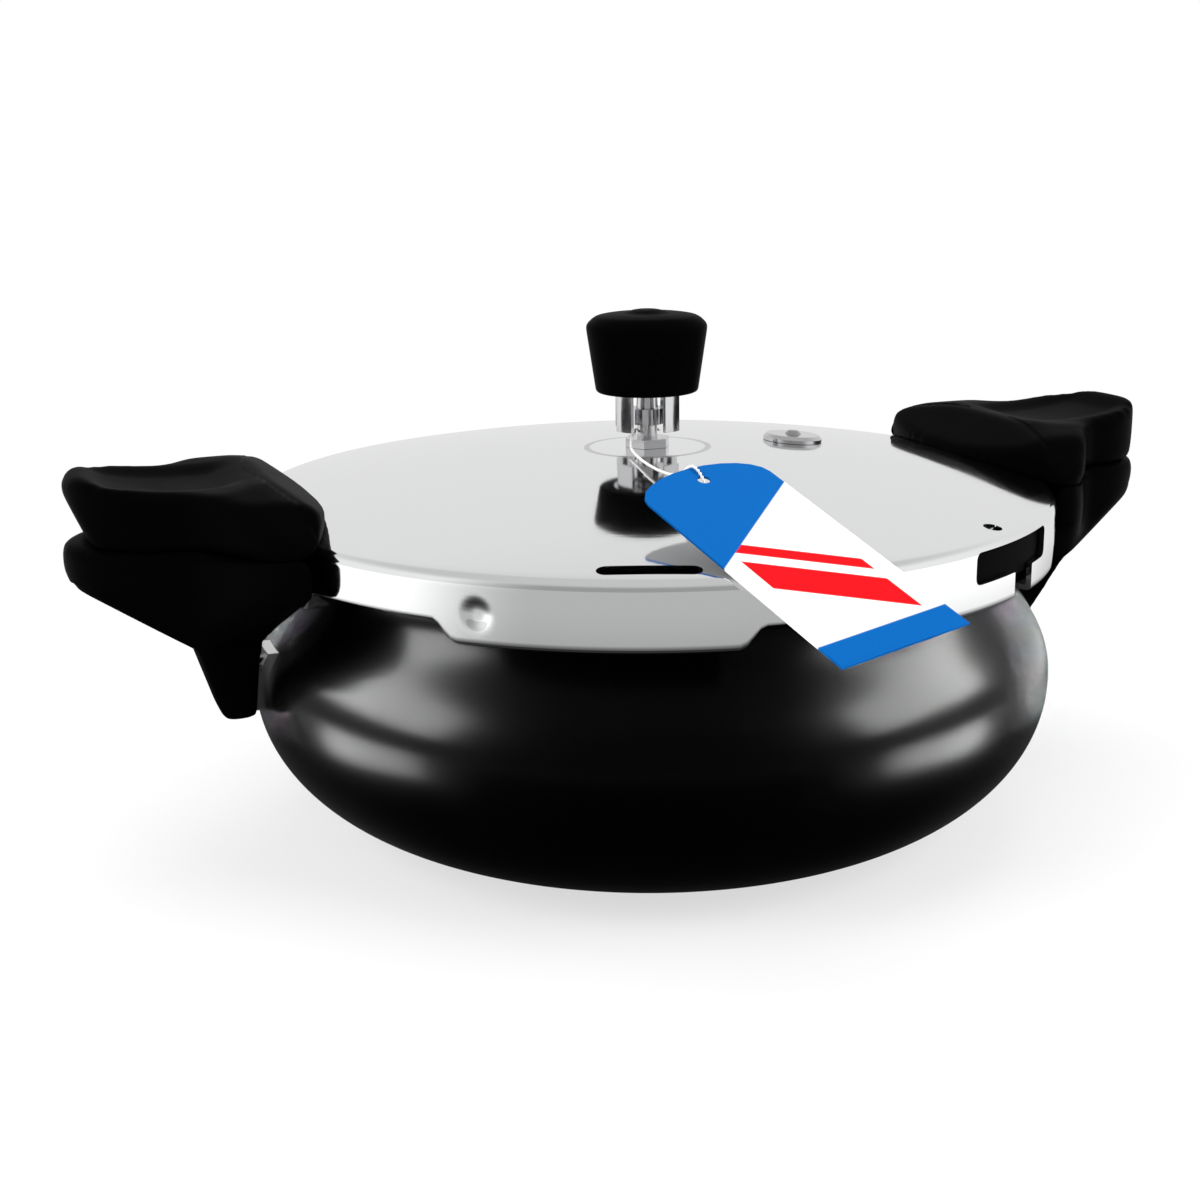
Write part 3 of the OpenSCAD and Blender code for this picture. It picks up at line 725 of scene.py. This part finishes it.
@dataclass
class Assembly:
    """What every sub-assembly shares: the CAD nodes and the finishes."""

    nodes: dict[str, bpy.types.Object]
    finishes: Finishes

    def place(self, obj: bpy.types.Object, body: Body, material: bpy.types.Material, slot: str,
              *stands_for: str) -> bpy.types.Object:
        """Dresses a finished piece and hangs it on its body.

        Args:
            obj: The piece, at the origin.
            body: The body that it moves with.
            material: Its finish.
            slot: The record's material slot for that finish; not used.
            stands_for: CAD nodes that the piece replaces.

        Returns:
            The piece.
        """
        obj.data.materials.clear()
        obj.data.materials.append(material)
        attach(obj, body.value)
        if stands_for:
            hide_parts(*stands_for)
        log.info("%s: %d faces on %s", obj.name, len(obj.data.polygons), body.value)
        return obj

    def finish_nodes(self, material: bpy.types.Material, *names: str) -> None:
        """Gives CAD nodes that stay in view their finish.

        Args:
            material: The finish.
            names: The nodes.
        """
        for name in names:
            data = self.nodes[name].data
            data.materials.clear()
            data.materials.append(material)
            log.info("%s keeps its CAD mesh", name)

    def build(self) -> None:
        """Builds and dresses the sub-assembly."""
        raise NotImplementedError


@dataclass
class Pot(Assembly):
    """The belly-shaped pot with its rim, lugs and brackets."""

    base_r: float = 64 * MM
    neck_r: float = 103 * MM
    belly_z: float = 43.5 * MM
    belly_skew: float = 1.2
    wall: float = 3.2 * MM
    rim_r: float = 108.5 * MM
    rim_t: float = 3.5 * MM
    rim_round: float = 0.8 * MM
    lug_r: float = 114.5 * MM
    lug_root: float = 1 * MM
    lug_round: float = 0.7 * MM
    lug_drop: float = 0.01 * MM
    lug_deg: float = 20.0
    lug_count: int = 6
    lug_start_deg: float = 61.5
    steps: int = 40
    segments: int = 256

    def __post_init__(self) -> None:
        """Takes the pot's width and height from the CAD model."""
        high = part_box("pot_body")[1]
        self.belly_r, self.rim_z = high.x, high.z
        self.under_z = self.rim_z - self.rim_t

    def side(self, inset: float) -> Outline:
        """The side's outline from the base to under the rim.

        Args:
            inset: Distance in from the outer surface.

        Returns:
            The outline.
        """
        lower = []
        for i in range(self.steps + 1):
            a = math.pi / 2 * i / self.steps
            r = self.base_r + (self.belly_r - self.base_r - inset) * math.sin(a)
            lower.append((r, self.belly_z - (self.belly_z - inset) * math.cos(a)))
        upper = []
        for i in range(1, self.steps + 1):
            t = i / self.steps
            swell = (1 + math.cos(math.pi * t**self.belly_skew)) / 2
            r = mix(self.neck_r, self.belly_r, swell) - inset
            upper.append((r, mix(self.belly_z, self.under_z, t)))
        return lower + upper

    def shell(self) -> bpy.types.Object:
        """The turned pot.

        Returns:
            The object.
        """
        soft, inner_r, under = self.rim_round, self.neck_r - self.wall, self.under_z
        rim = rounded([(self.neck_r, under, 0), (self.rim_r, under, soft), (self.rim_r, self.rim_z, soft),
                       (inner_r, self.rim_z, soft), (inner_r, under, 0)])
        inner = reversed(self.side(self.wall))
        outline = [(0.0, 0.0), *self.side(0.0), *rim[1:-1], *inner, (0.0, self.wall)]
        return turned(outline, "pot_shell", self.segments)

    def lugs(self) -> bpy.types.Object:
        """The bayonet lugs on the rim.

        Returns:
            The object.
        """
        half = math.radians(self.lug_deg) / 2
        steps = 24
        outline = arc((0.0, 0.0), self.lug_r, -half, half, steps)
        outline += arc((0.0, 0.0), self.rim_r - self.lug_root, half, -half, steps)
        obj = new_object("pot_lugs", prism(outline, self.under_z, self.rim_z - self.lug_drop, "pot_lugs"))
        bevel = obj.modifiers.new("soft edges", "BEVEL")
        bevel.width = self.lug_round
        bevel.segments = 2
        bake(obj)
        start = math.radians(self.lug_start_deg)
        ring_of_copies().apply(obj, Count=self.lug_count, Start=start, Material=self.finishes.pot)
        shade(obj.data)
        return obj

    def build(self) -> None:
        """Builds and dresses the pot."""
        self.place(self.shell(), Body.POT, self.finishes.pot, "anodised_pot", "pot_body")
        self.place(self.lugs(), Body.POT, self.finishes.pot, "anodised_pot", "pot_body")
        self.finish_nodes(self.finishes.steel, "pot_bracket_right", "pot_bracket_left",
                          "pot_handle_screw_right", "pot_handle_screw_left")
        self.finish_nodes(self.finishes.rivet, "bracket_rivets_right", "bracket_rivets_left")


@dataclass
class Lid(Assembly):
    """The domed bayonet lid with its openings, gasket, vent tube and safety plug.

    The roll rounds the skirt's lower edge, on the plain skirt and on a lip. The hem is how far the
    plain skirt's edge is seen to turn in. The tools reach clear of the sheet that they cut.
    """

    sheet: float = 1.5 * MM
    lid_r: float = 118.5 * MM
    edge: float = 12 * MM
    shoulder_r: float = 3 * MM
    skirt_lift: float = 0.5 * MM
    skirt_roll: tuple[float, float] = (0.3 * MM, 1.2 * MM)
    hem: float = 0.5 * MM
    lip_z: float = 79 * MM
    lip_turn: float = 7 * MM
    lip_deg: float = 37.0
    lip_soft_deg: float = 3.0
    lip_start_deg: float = 61.5
    lip_count: int = 6
    window_deg: tuple[float, float] = (-68.0, -48.0)
    window_drop: float = 1.5 * MM
    window_h: float = 8.5 * MM
    window_round: float = 2.2 * MM
    notch_deg: tuple[float, float] = (-58.5, -53.0)
    notch_round: float = 0.5 * MM
    slot_deg: float = -112.0
    slot_r: float = 111 * MM
    slot_w: float = 25.5 * MM
    slot_h: float = 5 * MM
    bleed_deg: float = -59.0
    bleed_r: float = 112 * MM
    bleed_d: float = 5 * MM
    dimple_deg: float = -132.5
    dimple_z: float = 87.2 * MM
    dimple_r: float = 4.6 * MM
    dimple_depth: float = 0.7 * MM
    dimple_flat: float = 0.35
    stem_d: float = 8 * MM
    plug_r: float = 48 * MM
    plug_stem_d: float = 9 * MM
    tool_reach: float = 5 * MM
    tool_depth: float = 6 * MM
    step_deg: float = 0.8
    dimple_step_deg: float = 0.4

    def __post_init__(self) -> None:
        """Takes the lid's heights from the CAD model."""
        self.top_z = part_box("lid_shell")[1].z
        self.rim_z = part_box("pot_body")[1].z
        self.edge_z = self.rim_z + self.edge
        rise = self.top_z - self.edge_z
        self.dome_r = (self.lid_r**2 + rise**2) / (2 * rise)
        self.dome_z = self.top_z - self.dome_r
        self.round_at = self.lid_r - self.shoulder_r
        self.tangent = math.asin(self.round_at / (self.dome_r - self.shoulder_r))
        self.round_z = self.dome_z + (self.dome_r - self.shoulder_r) * math.cos(self.tangent)

    def nearest(self, p: Vector) -> Vector:
        """The nearest point of the lid's dome or skirt.

        Args:
            p: A point near the lid.

        Returns:
            The point on the lid.
        """
        centre = Vector((0, 0, self.dome_z))
        dome = centre + (p - centre).normalized() * self.dome_r
        level = Vector((p.x, p.y, 0)).normalized() * self.lid_r
        skirt = Vector((level.x, level.y, p.z))
        return min(dome, skirt, key=lambda q: (q - p).length)

    def lip_share(self, degrees: float) -> float:
        """How far the skirt has turned into a deep lip at a direction.

        Args:
            degrees: The direction around the axis.

        Returns:
            0 on the plain skirt, 1 on a lip, eased in between.
        """
        pitch = 360.0 / self.lip_count
        off = abs((degrees - self.lip_start_deg + pitch / 2) % pitch - pitch / 2)
        edge = (self.lip_deg + self.lip_soft_deg) / 2
        return 1.0 - smooth_share(off, edge - self.lip_soft_deg, edge)

    def directions(self) -> list[float]:
        """The directions of the lid's grid, closer together round the dimple.

        Returns:
            The directions, in degrees.
        """
        reach, clear_deg = 7, 0.25
        fine = [self.dimple_deg + self.dimple_step_deg * i for i in range(-reach, reach + 1)]
        even = [-180.0 + self.step_deg * i for i in range(round(360.0 / self.step_deg))]
        return sorted([d for d in even if min(abs(d - x) for x in fine) > clear_deg] + fine)

    def section(self, degrees: float) -> Outline:
        """The outer outline of the lid at a direction, from near the centre to the skirt's inner edge.

        Args:
            degrees: The direction around the axis.

        Returns:
            Points (radius, height).
        """
        upright = math.pi / 2
        dome_steps, shoulder_steps, skirt_steps, hem_steps = 40, 8, 14, 4
        share = self.lip_share(degrees)
        low = mix(self.rim_z + self.skirt_lift, self.lip_z, share)
        roll = mix(*self.skirt_roll, share)
        inner_r = mix(self.lid_r - self.hem, self.lid_r - self.sheet - self.lip_turn, share)
        parts = (
            arc((0.0, self.dome_z), self.dome_r, upright, upright - self.tangent, dome_steps),
            arc((self.round_at, self.round_z), self.shoulder_r, upright - self.tangent, 0.0,
                shoulder_steps),
            [(self.lid_r, mix(self.round_z, low + roll, i / skirt_steps)) for i in range(skirt_steps + 1)],
            arc((self.lid_r - roll, low + roll), roll, 0.0, -upright, hem_steps),
            [(mix(self.lid_r - roll, inner_r, i / hem_steps), low) for i in range(hem_steps + 1)])
        return [point for part in parts for point in part[1:]]

    def dimpled(self, p: Vector, degrees: float) -> Vector:
        """Presses the dimple into a point of the skirt.

        Args:
            p: The point.
            degrees: Its direction.

        Returns:
            The pressed point.
        """
        across = math.radians(degrees - self.dimple_deg) * self.lid_r
        away = math.hypot(across, p.z - self.dimple_z) / self.dimple_r
        depth = self.dimple_depth * (1 - smooth_share(away, self.dimple_flat, 1.0))
        return p - Vector((p.x, p.y, 0)).normalized() * depth

    def skin(self) -> bpy.types.Mesh:
        """The lid's outer skin.

        Returns:
            The mesh, one face thick.
        """
        bm = bmesh.new()
        pole = bm.verts.new((0, 0, self.top_z))
        grid = []
        for d in self.directions():
            a = math.radians(d)
            places = [Vector((r * math.cos(a), r * math.sin(a), z)) for r, z in self.section(d)]
            grid.append([bm.verts.new(self.dimpled(p, d) if p.z < self.edge_z else p) for p in places])
        for here, there in zip(grid, [*grid[1:], grid[0]]):
            bm.faces.new((pole, here[0], there[0]))
            for j in range(len(here) - 1):
                bm.faces.new((here[j], here[j + 1], there[j + 1], there[j]))
        return as_mesh(bm, "lid_skin")

    def window(self) -> bpy.types.Mesh:
        """A tool for the skirt's window and for the notch from it to the skirt's edge.

        Returns:
            The tool.
        """
        middle = sum(self.window_deg) / 2

        def across(degrees: float) -> float:
            """Level distance of a direction from the window's middle."""
            return self.lid_r * math.sin(math.radians(degrees - middle))

        left, right = (across(d) for d in self.window_deg)
        near, far = (across(d) for d in self.notch_deg)
        top = self.window_drop - self.edge_z
        foot, end = top + self.window_h, self.tool_reach - self.lip_z
        soft, crisp = self.window_round, self.notch_round
        outline = rounded([(end, near, 0), (foot, near, crisp), (foot, left, soft), (top, left, soft),
                           (top, right, soft), (foot, right, soft), (foot, far, crisp), (end, far, 0)])
        tool = prism(outline, self.lid_r - 2 * self.tool_reach, self.lid_r + self.tool_reach, "window")
        tool.transform(Matrix.Rotation(math.pi / 2, 4, "Y"))
        return around_axis(tool, middle)

    def cutters(self) -> bpy.types.Object:
        """The tools that cut every opening.

        Returns:
            One object that holds them all.
        """
        low, high = self.edge_z - self.tool_depth, self.top_z + self.tool_reach
        straight, end_r = self.slot_w - self.slot_h, self.slot_h / 2
        end_steps, hole_steps = 12, 32
        stadium = arc((self.slot_r, straight / 2), end_r, 0.0, math.pi, end_steps)
        stadium += arc((self.slot_r, -straight / 2), end_r, math.pi, 2 * math.pi, end_steps)
        slot = around_axis(prism(stadium, low, high, "slot"), self.slot_deg)

        def hole(r: float, diameter: float) -> bpy.types.Mesh:
            """A round tool at a distance along +X."""
            circle = arc((r, 0.0), diameter / 2, 0.0, 2 * math.pi, hole_steps)[1:]
            return prism(circle, low, high, "hole")

        bleed = around_axis(hole(self.bleed_r, self.bleed_d), self.bleed_deg)
        parts = [slot, bleed, self.window(), hole(0.0, self.stem_d), hole(self.plug_r, self.plug_stem_d)]
        return new_object("lid_cutters", joined(parts, "lid_cutters"))

    def shell(self) -> bpy.types.Object:
        """The pressed lid with its wall and openings.

        Returns:
            The object.
        """
        obj = new_object("lid_sheet", self.skin())
        wall = obj.modifiers.new("wall", "SOLIDIFY")
        wall.thickness = self.sheet
        wall.offset = -1.0
        wall.use_quality_normals = True
        bake(obj)
        tools = self.cutters()
        cut = obj.modifiers.new("openings", "BOOLEAN")
        cut.object = tools
        cut.operation = "DIFFERENCE"
        cut.solver = "MANIFOLD"
        bake(obj)
        bpy.data.objects.remove(tools)
        shade(obj.data, 40.0)
        return obj

    def build(self) -> None:
        """Builds and dresses the lid."""
        self.place(self.shell(), Body.LID, self.finishes.lid, "polished_aluminium", "lid_shell")
        self.finish_nodes(self.finishes.steel, "lid_bracket_right", "lid_bracket_left", "vent_tube",
                          "lid_handle_screws_right", "lid_handle_screws_left", "vent_washer", "vent_nut",
                          "safety_plug", "plug_washer", "plug_nut")
        self.finish_nodes(self.finishes.rubber, "gasket")
        self.finish_nodes(self.finishes.plated, "fusible_core")


@dataclass
class EarHandles(Assembly):
    """The moulded ear handles of the pot and the lid.

    A CAD handle is remeshed in voxels, filled out so that softening leaves it its size, and softened
    in passes. A face within the nearer contact distance of the lid stays on it, and one beyond the
    farther distance is free of it.
    """

    voxel: float = 0.9 * MM
    merge: float = 0.001 * MM
    passes: int = 36
    fullness: float = 0.7 * MM
    contact: tuple[float, float] = (0.5 * MM, 2.0 * MM)
    grip_half: float = 22 * MM
    dish_depth: float = 1.8 * MM
    dish_x: tuple[float, float] = (119 * MM, 164 * MM)
    dish_run: float = 10 * MM
    dish_sides: tuple[float, float] = (0.45, 0.92)

    def __post_init__(self) -> None:
        """Takes the lid's form, on which its handles rest."""
        self.lid = Lid(self.nodes, self.finishes)

    def moulded(self, node: str) -> bpy.types.Mesh:
        """A CAD handle's form with the soft edges of a moulding. Faces on the lid stay on it.

        Args:
            node: The CAD node.

        Returns:
            The mesh.
        """
        bm = bmesh.new()
        bm.from_mesh(self.nodes[node].data)
        bmesh.ops.remove_doubles(bm, verts=bm.verts, dist=self.merge)
        obj = new_object(f"{node}_form", as_mesh(bm, f"{node}_form"))
        remesh = obj.modifiers.new("even faces", "REMESH")
        remesh.mode = "VOXEL"
        remesh.voxel_size = self.voxel
        bake(obj)
        rough = obj.data.vertices
        outwards = [v.normal.copy() for v in rough]
        free = [smooth_share((self.lid.nearest(v.co) - v.co).length, *self.contact) for v in rough]
        for vertex, out, share in zip(rough, outwards, free):
            vertex.co += out * self.fullness * share
        soften = obj.modifiers.new("soft edges", "SMOOTH")
        soften.factor = 0.5
        soften.iterations = self.passes
        bake(obj)
        made = obj.data
        bpy.data.objects.remove(obj)
        for vertex, share in zip(made.vertices, free):
            vertex.co = self.lid.nearest(vertex.co).lerp(vertex.co, share)
        made.shade_smooth()
        return made

    def dish(self, mesh: bpy.types.Mesh) -> None:
        """Hollows the upper face of a lid handle's grip, inside a raised rim.

        Args:
            mesh: The right-hand handle's mesh.
        """
        steepest = 0.35  # the upward share of a normal below which a face counts as a side
        start, end = self.dish_x
        sides = [share * self.grip_half for share in self.dish_sides]
        for vertex in mesh.vertices:
            if vertex.normal.z < steepest:
                continue
            along = smooth_share(vertex.co.x, start, start + self.dish_run)
            along *= 1 - smooth_share(vertex.co.x, end - self.dish_run, end)
            across = 1 - smooth_share(abs(vertex.co.y), *sides)
            vertex.co.z -= self.dish_depth * along * across

    def build(self) -> None:
        """Builds and dresses all four handles."""
        for kind, body in (("pot_handle", Body.POT), ("lid_handle", Body.LID)):
            right = self.moulded(f"{kind}_right")
            if kind == "lid_handle":
                self.dish(right)
            left = around_axis(right.copy(), 180.0)
            for side, mesh in (("right", right), ("left", left)):
                node = f"{kind}_{side}"
                obj = new_object(f"{node}_moulding", mesh)
                self.place(obj, body, self.finishes.bakelite, "bakelite", node)


@dataclass
class Weight(Assembly):
    """The weight: a moulded knob on a metal sleeve and slug."""

    foot_r: float = 15 * MM
    crown_r: float = 4.5 * MM
    crown_h: float = 1 * MM
    wide_share: float = 0.72
    sleeve_r: float = 10.5 * MM
    roof: float = 15 * MM

    def knob(self) -> bpy.types.Object:
        """The turned knob.

        Returns:
            The object.
        """
        low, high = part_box("weight_knob")
        wide_r, height = high.x, high.z - low.z
        shoulder = height - self.crown_h
        outline = rounded([
            (0.0, self.roof, 0), (self.sleeve_r, self.roof, 0), (self.sleeve_r, 0.0, 0.4 * MM),
            (self.foot_r, 0.0, 1.2 * MM), (0.985 * wide_r, self.wide_share * height, 6 * MM),
            (wide_r, shoulder - 3.4 * MM, 3 * MM), (0.86 * wide_r, shoulder - 0.9 * MM, 4 * MM),
            (0.6 * wide_r, shoulder - 0.1 * MM, 4 * MM), (self.crown_r + 2 * MM, shoulder, 2 * MM),
            (self.crown_r - 1 * MM, height, 2.5 * MM), (0.0, height, 0)], steps=8)
        return turned(outline, "knob_moulding", base_z=low.z)

    def build(self) -> None:
        """Builds and dresses the weight."""
        self.place(self.knob(), Body.WEIGHT, self.finishes.bakelite, "bakelite", "weight_knob")
        self.finish_nodes(self.finishes.steel, "weight_sleeve")
        self.finish_nodes(self.finishes.plated, "weight_core")


@dataclass
class Tag(Assembly):
    """The thread that ties the card tag to the vent tube. The card keeps its CAD mesh."""

    thread_d: float = 0.9 * MM
    step: float = 0.35 * MM
    twist: float = 2.4 * MM
    path_steps: int = 6
    route_mm: tuple[tuple[float, float, float], ...] = (
        (4, 0, 4.5), (2.8, 2.8, 4.5), (0, 4, 4.5), (-2.8, 2.8, 4.5), (-4.2, -0.6, 4.4),
        (-7, -5, 3.4), (-10, -13, 1.4), (-13, -32, 0.8), (-14, -50, 1.2), (-15.5, -62, 4),
        (-16.5, -70, 7), (-16, -73, 6.6), (-15.6, -75.4, 4.8), (-15.4, -77, 3),
    )

    def path(self) -> list[Vector]:
        """The thread's smooth path through its route.

        Returns:
            Points of the path.
        """
        top = Vector((0, 0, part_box("lid_shell")[1].z))
        route = [Vector(p) * MM + top for p in self.route_mm]
        ends = [2 * route[0] - route[1], *route, 2 * route[-1] - route[-2]]
        points = []
        for a, b, c, d in zip(ends, ends[1:], ends[2:], ends[3:]):
            for i in range(self.path_steps):
                t = i / self.path_steps
                points.append(0.5 * (2 * b + (c - a) * t + (2 * a - 5 * b + 4 * c - d) * t**2
                                     + (3 * b - a - 3 * c + d) * t**3))
        return [*points, route[-1]]

    def thread(self, points: Sequence[Vector]) -> bpy.types.Object:
        """The two-ply thread.

        Args:
            points: Its path.

        Returns:
            The object.
        """
        mesh = bpy.data.meshes.new("thread")
        mesh.from_pydata([tuple(p) for p in points], [(i, i + 1) for i in range(len(points) - 1)], [])
        obj = new_object("thread", mesh)
        values = {"Ply radius": self.thread_d / 4, "Step": self.step, "Twist": 2 * math.pi / self.twist}
        return twisted_thread().apply(obj, Material=self.finishes.thread, **values)

    def build(self) -> None:
        """Builds and dresses the tag and its thread."""
        self.finish_nodes(self.finishes.card, "tag_card")
        points = self.path()
        thread = self.place(self.thread(points), Body.LID, self.finishes.thread, "tag_thread", "tag_thread")


# ---------- the studio ----------


@dataclass(frozen=True)
class SoftBox:
    """An area lamp. Its directions are taken from the object: turned from its front, and raised."""

    name: str
    turn_deg: float
    rise_deg: float
    distance: float
    size: tuple[float, float]
    power: float
    glow: bool = False


@dataclass
class Studio:
    """The camera, the pale floor and the lights.

    Tones are brightness at the back, the sides and the front. A pool is a patch of the floor under
    the object: its inner and outer radius, and its tone inside and outside. The reflected shade pool is
    painted shade: where the floor is seen in reflections it glows, and the glow is darkened near the
    object in place of the shadow that the object would cast there. Glow boxes light only the
    pot, on which they leave broad highlights. The low pair stands for the mirror image of a lamp in a
    glossy table top.
    """

    distance: float = 0.53
    elevation_deg: float = 15.0
    azimuth_deg: float = -20.5
    roll_deg: float = 0.8
    lens_mm: float = 52.29
    aim: tuple[float, float, float] = (-13.8 * MM, 5.1 * MM, 61 * MM)
    lamp_aim: tuple[float, float, float] = (0.0, 0.0, 60 * MM)
    floor_half: float = 6.0
    floor_drop: float = 0.05 * MM
    floor_grey: float = 0.85
    floor_tones: tuple[float, float, float] = (0.8, 1.2, 0.5)
    wall_tones: tuple[float, float, float] = (0.8, 0.9, 0.35)
    ceiling_tone: float = 0.6
    ceiling_rise: tuple[float, float] = (0.45, 0.85)
    # painted shade: in reflections the floor's glow falls to 0.06 of its tone near the object
    reflected_shade_pool: tuple[float, float, float, float] = (0.2, 0.45, 0.06, 1.0)
    seen_pool: tuple[float, float, float, float] = (0.12, 0.4, 0.66, 1.0)
    pairs: tuple[SoftBox, ...] = (
        SoftBox("high_glow", 80, 27, 1.2, (0.9, 0.45), 80.0, glow=True),
        SoftBox("low_glow", 80, -11, 1.2, (0.7, 0.34), 30.0, glow=True),
        SoftBox("rim_glow", 130, -4, 1.2, (0.5, 0.5), 4.5, glow=True),
        SoftBox("box", 60, 35, 1.3, (0.7, 0.6), 8.0))
    top: SoftBox = SoftBox("top_box", 180, 80, 1.3, (1.2, 1.0), 10.0)

    def towards_camera(self) -> Vector:
        """The direction from the aim to the camera."""
        a, e = math.radians(self.azimuth_deg), math.radians(self.elevation_deg)
        return Vector((math.sin(a) * math.cos(e), -math.cos(a) * math.cos(e), math.sin(e)))

    def camera(self) -> None:
        """Sets up the camera."""
        data = bpy.data.cameras.new("camera")
        data.lens = self.lens_mm
        data.sensor_width = 36.0
        data.clip_start = 0.01
        obj = new_object("camera", data)
        back = self.towards_camera()
        look = back.to_track_quat("Z", "Y").to_matrix().to_4x4()
        roll = Matrix.Rotation(math.radians(-self.roll_deg), 4, "Z")
        obj.matrix_world = Matrix.Translation(Vector(self.aim) + self.distance * back) @ look @ roll
        bpy.context.scene.camera = obj

    def front(self) -> Vector:
        """The level direction from the object towards the camera.

        Returns:
            A unit vector.
        """
        level = self.towards_camera()
        level.z = 0
        return level.normalized()

    def around(self, sheet: Sheet, place: bpy.types.NodeSocket, tones: tuple[float, float, float]) -> object:
        """Brightness that changes from the back of the set, past its sides, to its front.

        Args:
            sheet: The tree to build in.
            place: A direction or a place, as a socket.
            tones: Brightness at the back, the sides and the front.

        Returns:
            The brightness socket.
        """
        level = sheet.add("ShaderNodeVectorMath", {0: place, 1: (1.0, 1.0, 0.0)}, operation="MULTIPLY")
        unit = sheet.add("ShaderNodeVectorMath", {0: level.outputs[0]}, operation="NORMALIZE")
        facing = sheet.dot(unit.outputs[0], self.front())
        back, side, near = tones
        behind = sheet.ramp(facing, -0.7, -0.1, back, side)
        ahead = sheet.ramp(facing, 0.45, 0.9, 0.0, near - side)
        return sheet.math("ADD", behind, ahead)

    def floor(self) -> None:
        """Lays the floor, pale to the eye, with the object's soft shadow on it, and with painted shade near
        the object in reflections.
        """
        mesh = bpy.data.meshes.new("floor")
        half, low = self.floor_half, -self.floor_drop
        corners = [(-half, -half, low), (half, -half, low), (half, half, low), (-half, half, low)]
        mesh.from_pydata(corners, [], [(0, 1, 2, 3)])
        floor = new_object("floor", mesh)
        material = bpy.data.materials.new("pale_floor")
        material.use_nodes = True
        material.node_tree.nodes.clear()
        sheet = Sheet(material.node_tree)
        place = sheet.place()
        away = sheet.add("ShaderNodeVectorMath", {0: place}, operation="LENGTH").outputs["Value"]
        # the floor's glow in reflections: the tones round the set, times painted shade near the object
        tone = sheet.math("MULTIPLY", self.around(sheet, place, self.floor_tones),
                          sheet.ramp(away, *self.reflected_shade_pool))
        matt = sheet.add("ShaderNodeBsdfDiffuse", {"Color": (*[self.floor_grey] * 3, 1.0)})
        white = sheet.add("ShaderNodeEmission", {"Color": WHITE, "Strength": 1.0})
        glow_with_painted_shade = sheet.add("ShaderNodeEmission", {"Color": WHITE, "Strength": tone})
        path = sheet.add("ShaderNodeLightPath").outputs
        clear = sheet.math("MULTIPLY", path["Is Camera Ray"], sheet.ramp(away, *self.seen_pool))
        seen = sheet.add("ShaderNodeMixShader", {0: clear, 1: matt.outputs[0], 2: white.outputs[0]})
        both = sheet.add("ShaderNodeMixShader", {0: path["Is Glossy Ray"], 1: seen.outputs[0],
                                                 2: glow_with_painted_shade.outputs[0]})
        sheet.add("ShaderNodeOutputMaterial", {"Surface": both.outputs[0]})
        mesh.materials.append(material)

    def world(self) -> None:
        """A white surround to the eye, and a soft graded surround for light and reflections."""
        world = bpy.data.worlds.new("surround")
        world.use_nodes = True
        bpy.context.scene.world = world
        world.node_tree.nodes.clear()
        sheet = Sheet(world.node_tree)
        ray = sheet.add("ShaderNodeTexCoord").outputs["Generated"]
        height = sheet.add("ShaderNodeSeparateXYZ", {0: ray}).outputs[2]
        lift = sheet.ramp(height, *self.ceiling_rise)
        walls = sheet.math("MULTIPLY", self.around(sheet, ray, self.wall_tones),
                           sheet.math("SUBTRACT", 1.0, lift))
        level = sheet.math("ADD", walls, sheet.math("MULTIPLY", lift, self.ceiling_tone))
        path = sheet.add("ShaderNodeLightPath").outputs
        graded = sheet.add("ShaderNodeBackground", {"Color": WHITE, "Strength": level})
        white = sheet.add("ShaderNodeBackground", {"Color": WHITE, "Strength": 1.0})
        both = sheet.add("ShaderNodeMixShader",
                         {0: path["Is Camera Ray"], 1: graded.outputs[0], 2: white.outputs[0]})
        sheet.add("ShaderNodeOutputWorld", {"Surface": both.outputs[0]})

    def lamp(self, name: str, box: SoftBox, side: int = 1) -> None:
        """Adds a lamp that faces the object.

        Args:
            name: The lamp's name.
            box: Its place, size and power.
            side: 1 on the right, or -1 for its mirror image on the left.
        """
        turn, rise = math.radians(side * box.turn_deg), math.radians(box.rise_deg)
        front = self.front()
        right = Vector((-front.y, front.x, 0))
        level = front * math.cos(turn) + right * math.sin(turn)
        place = box.distance * (level * math.cos(rise) + Vector((0, 0, math.sin(rise))))
        data = bpy.data.lights.new(name, "AREA")
        data.shape = "RECTANGLE"
        data.size, data.size_y = box.size
        data.energy = box.power
        obj = new_object(name, data)
        away = (place - Vector(self.lamp_aim)).normalized()
        obj.matrix_world = Matrix.Translation(place) @ away.to_track_quat("Z", "Y").to_matrix().to_4x4()
        if box.glow:
            data.cycles.use_multiple_importance_sampling = False
            obj.light_linking.receiver_collection = self.lit
            obj.light_linking.blocker_collection = self.blocking
        obj.visible_diffuse = not box.glow
        obj.visible_glossy = box.glow

    def lamps(self) -> None:
        """Places every lamp."""
        for name, side in (("left", -1), ("right", 1)):
            for box in self.pairs:
                self.lamp(f"{name}_{box.name}", box, side)
        self.lamp(self.top.name, self.top)

    def link_glows(self, *lit: str) -> None:
        """Lets the glow boxes light some pieces only, past the floor. Every piece blocks them.

        Args:
            lit: Names of the pieces that they light.
        """
        for obj in bpy.context.scene.objects:
            if obj.type == "MESH" and obj.name != "floor":
                self.blocking.objects.link(obj)
        for name in lit:
            self.lit.objects.link(bpy.data.objects[name])

    def build(self) -> None:
        """Sets up the whole studio."""
        self.lit = bpy.data.collections.new("lit_by_glow_boxes")
        self.blocking = bpy.data.collections.new("blocks_glow_boxes")
        self.camera()
        self.floor()
        self.world()
        self.lamps()
        bpy.context.scene.view_settings.view_transform = "Standard"


def main() -> None:
    """Builds the studio and the cooker, piece by piece."""
    logging.basicConfig(level=logging.INFO, format="%(message)s")
    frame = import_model()
    studio = Studio()
    studio.build()
    finishes = Finishes()
    assemblies: list[type[Assembly]] = [Tag, Pot, Lid, EarHandles, Weight]
    for kind in assemblies:
        kind(frame["nodes"], finishes).build()
    studio.link_glows("pot_shell", "pot_lugs")


if __name__ == "__main__":
    main()
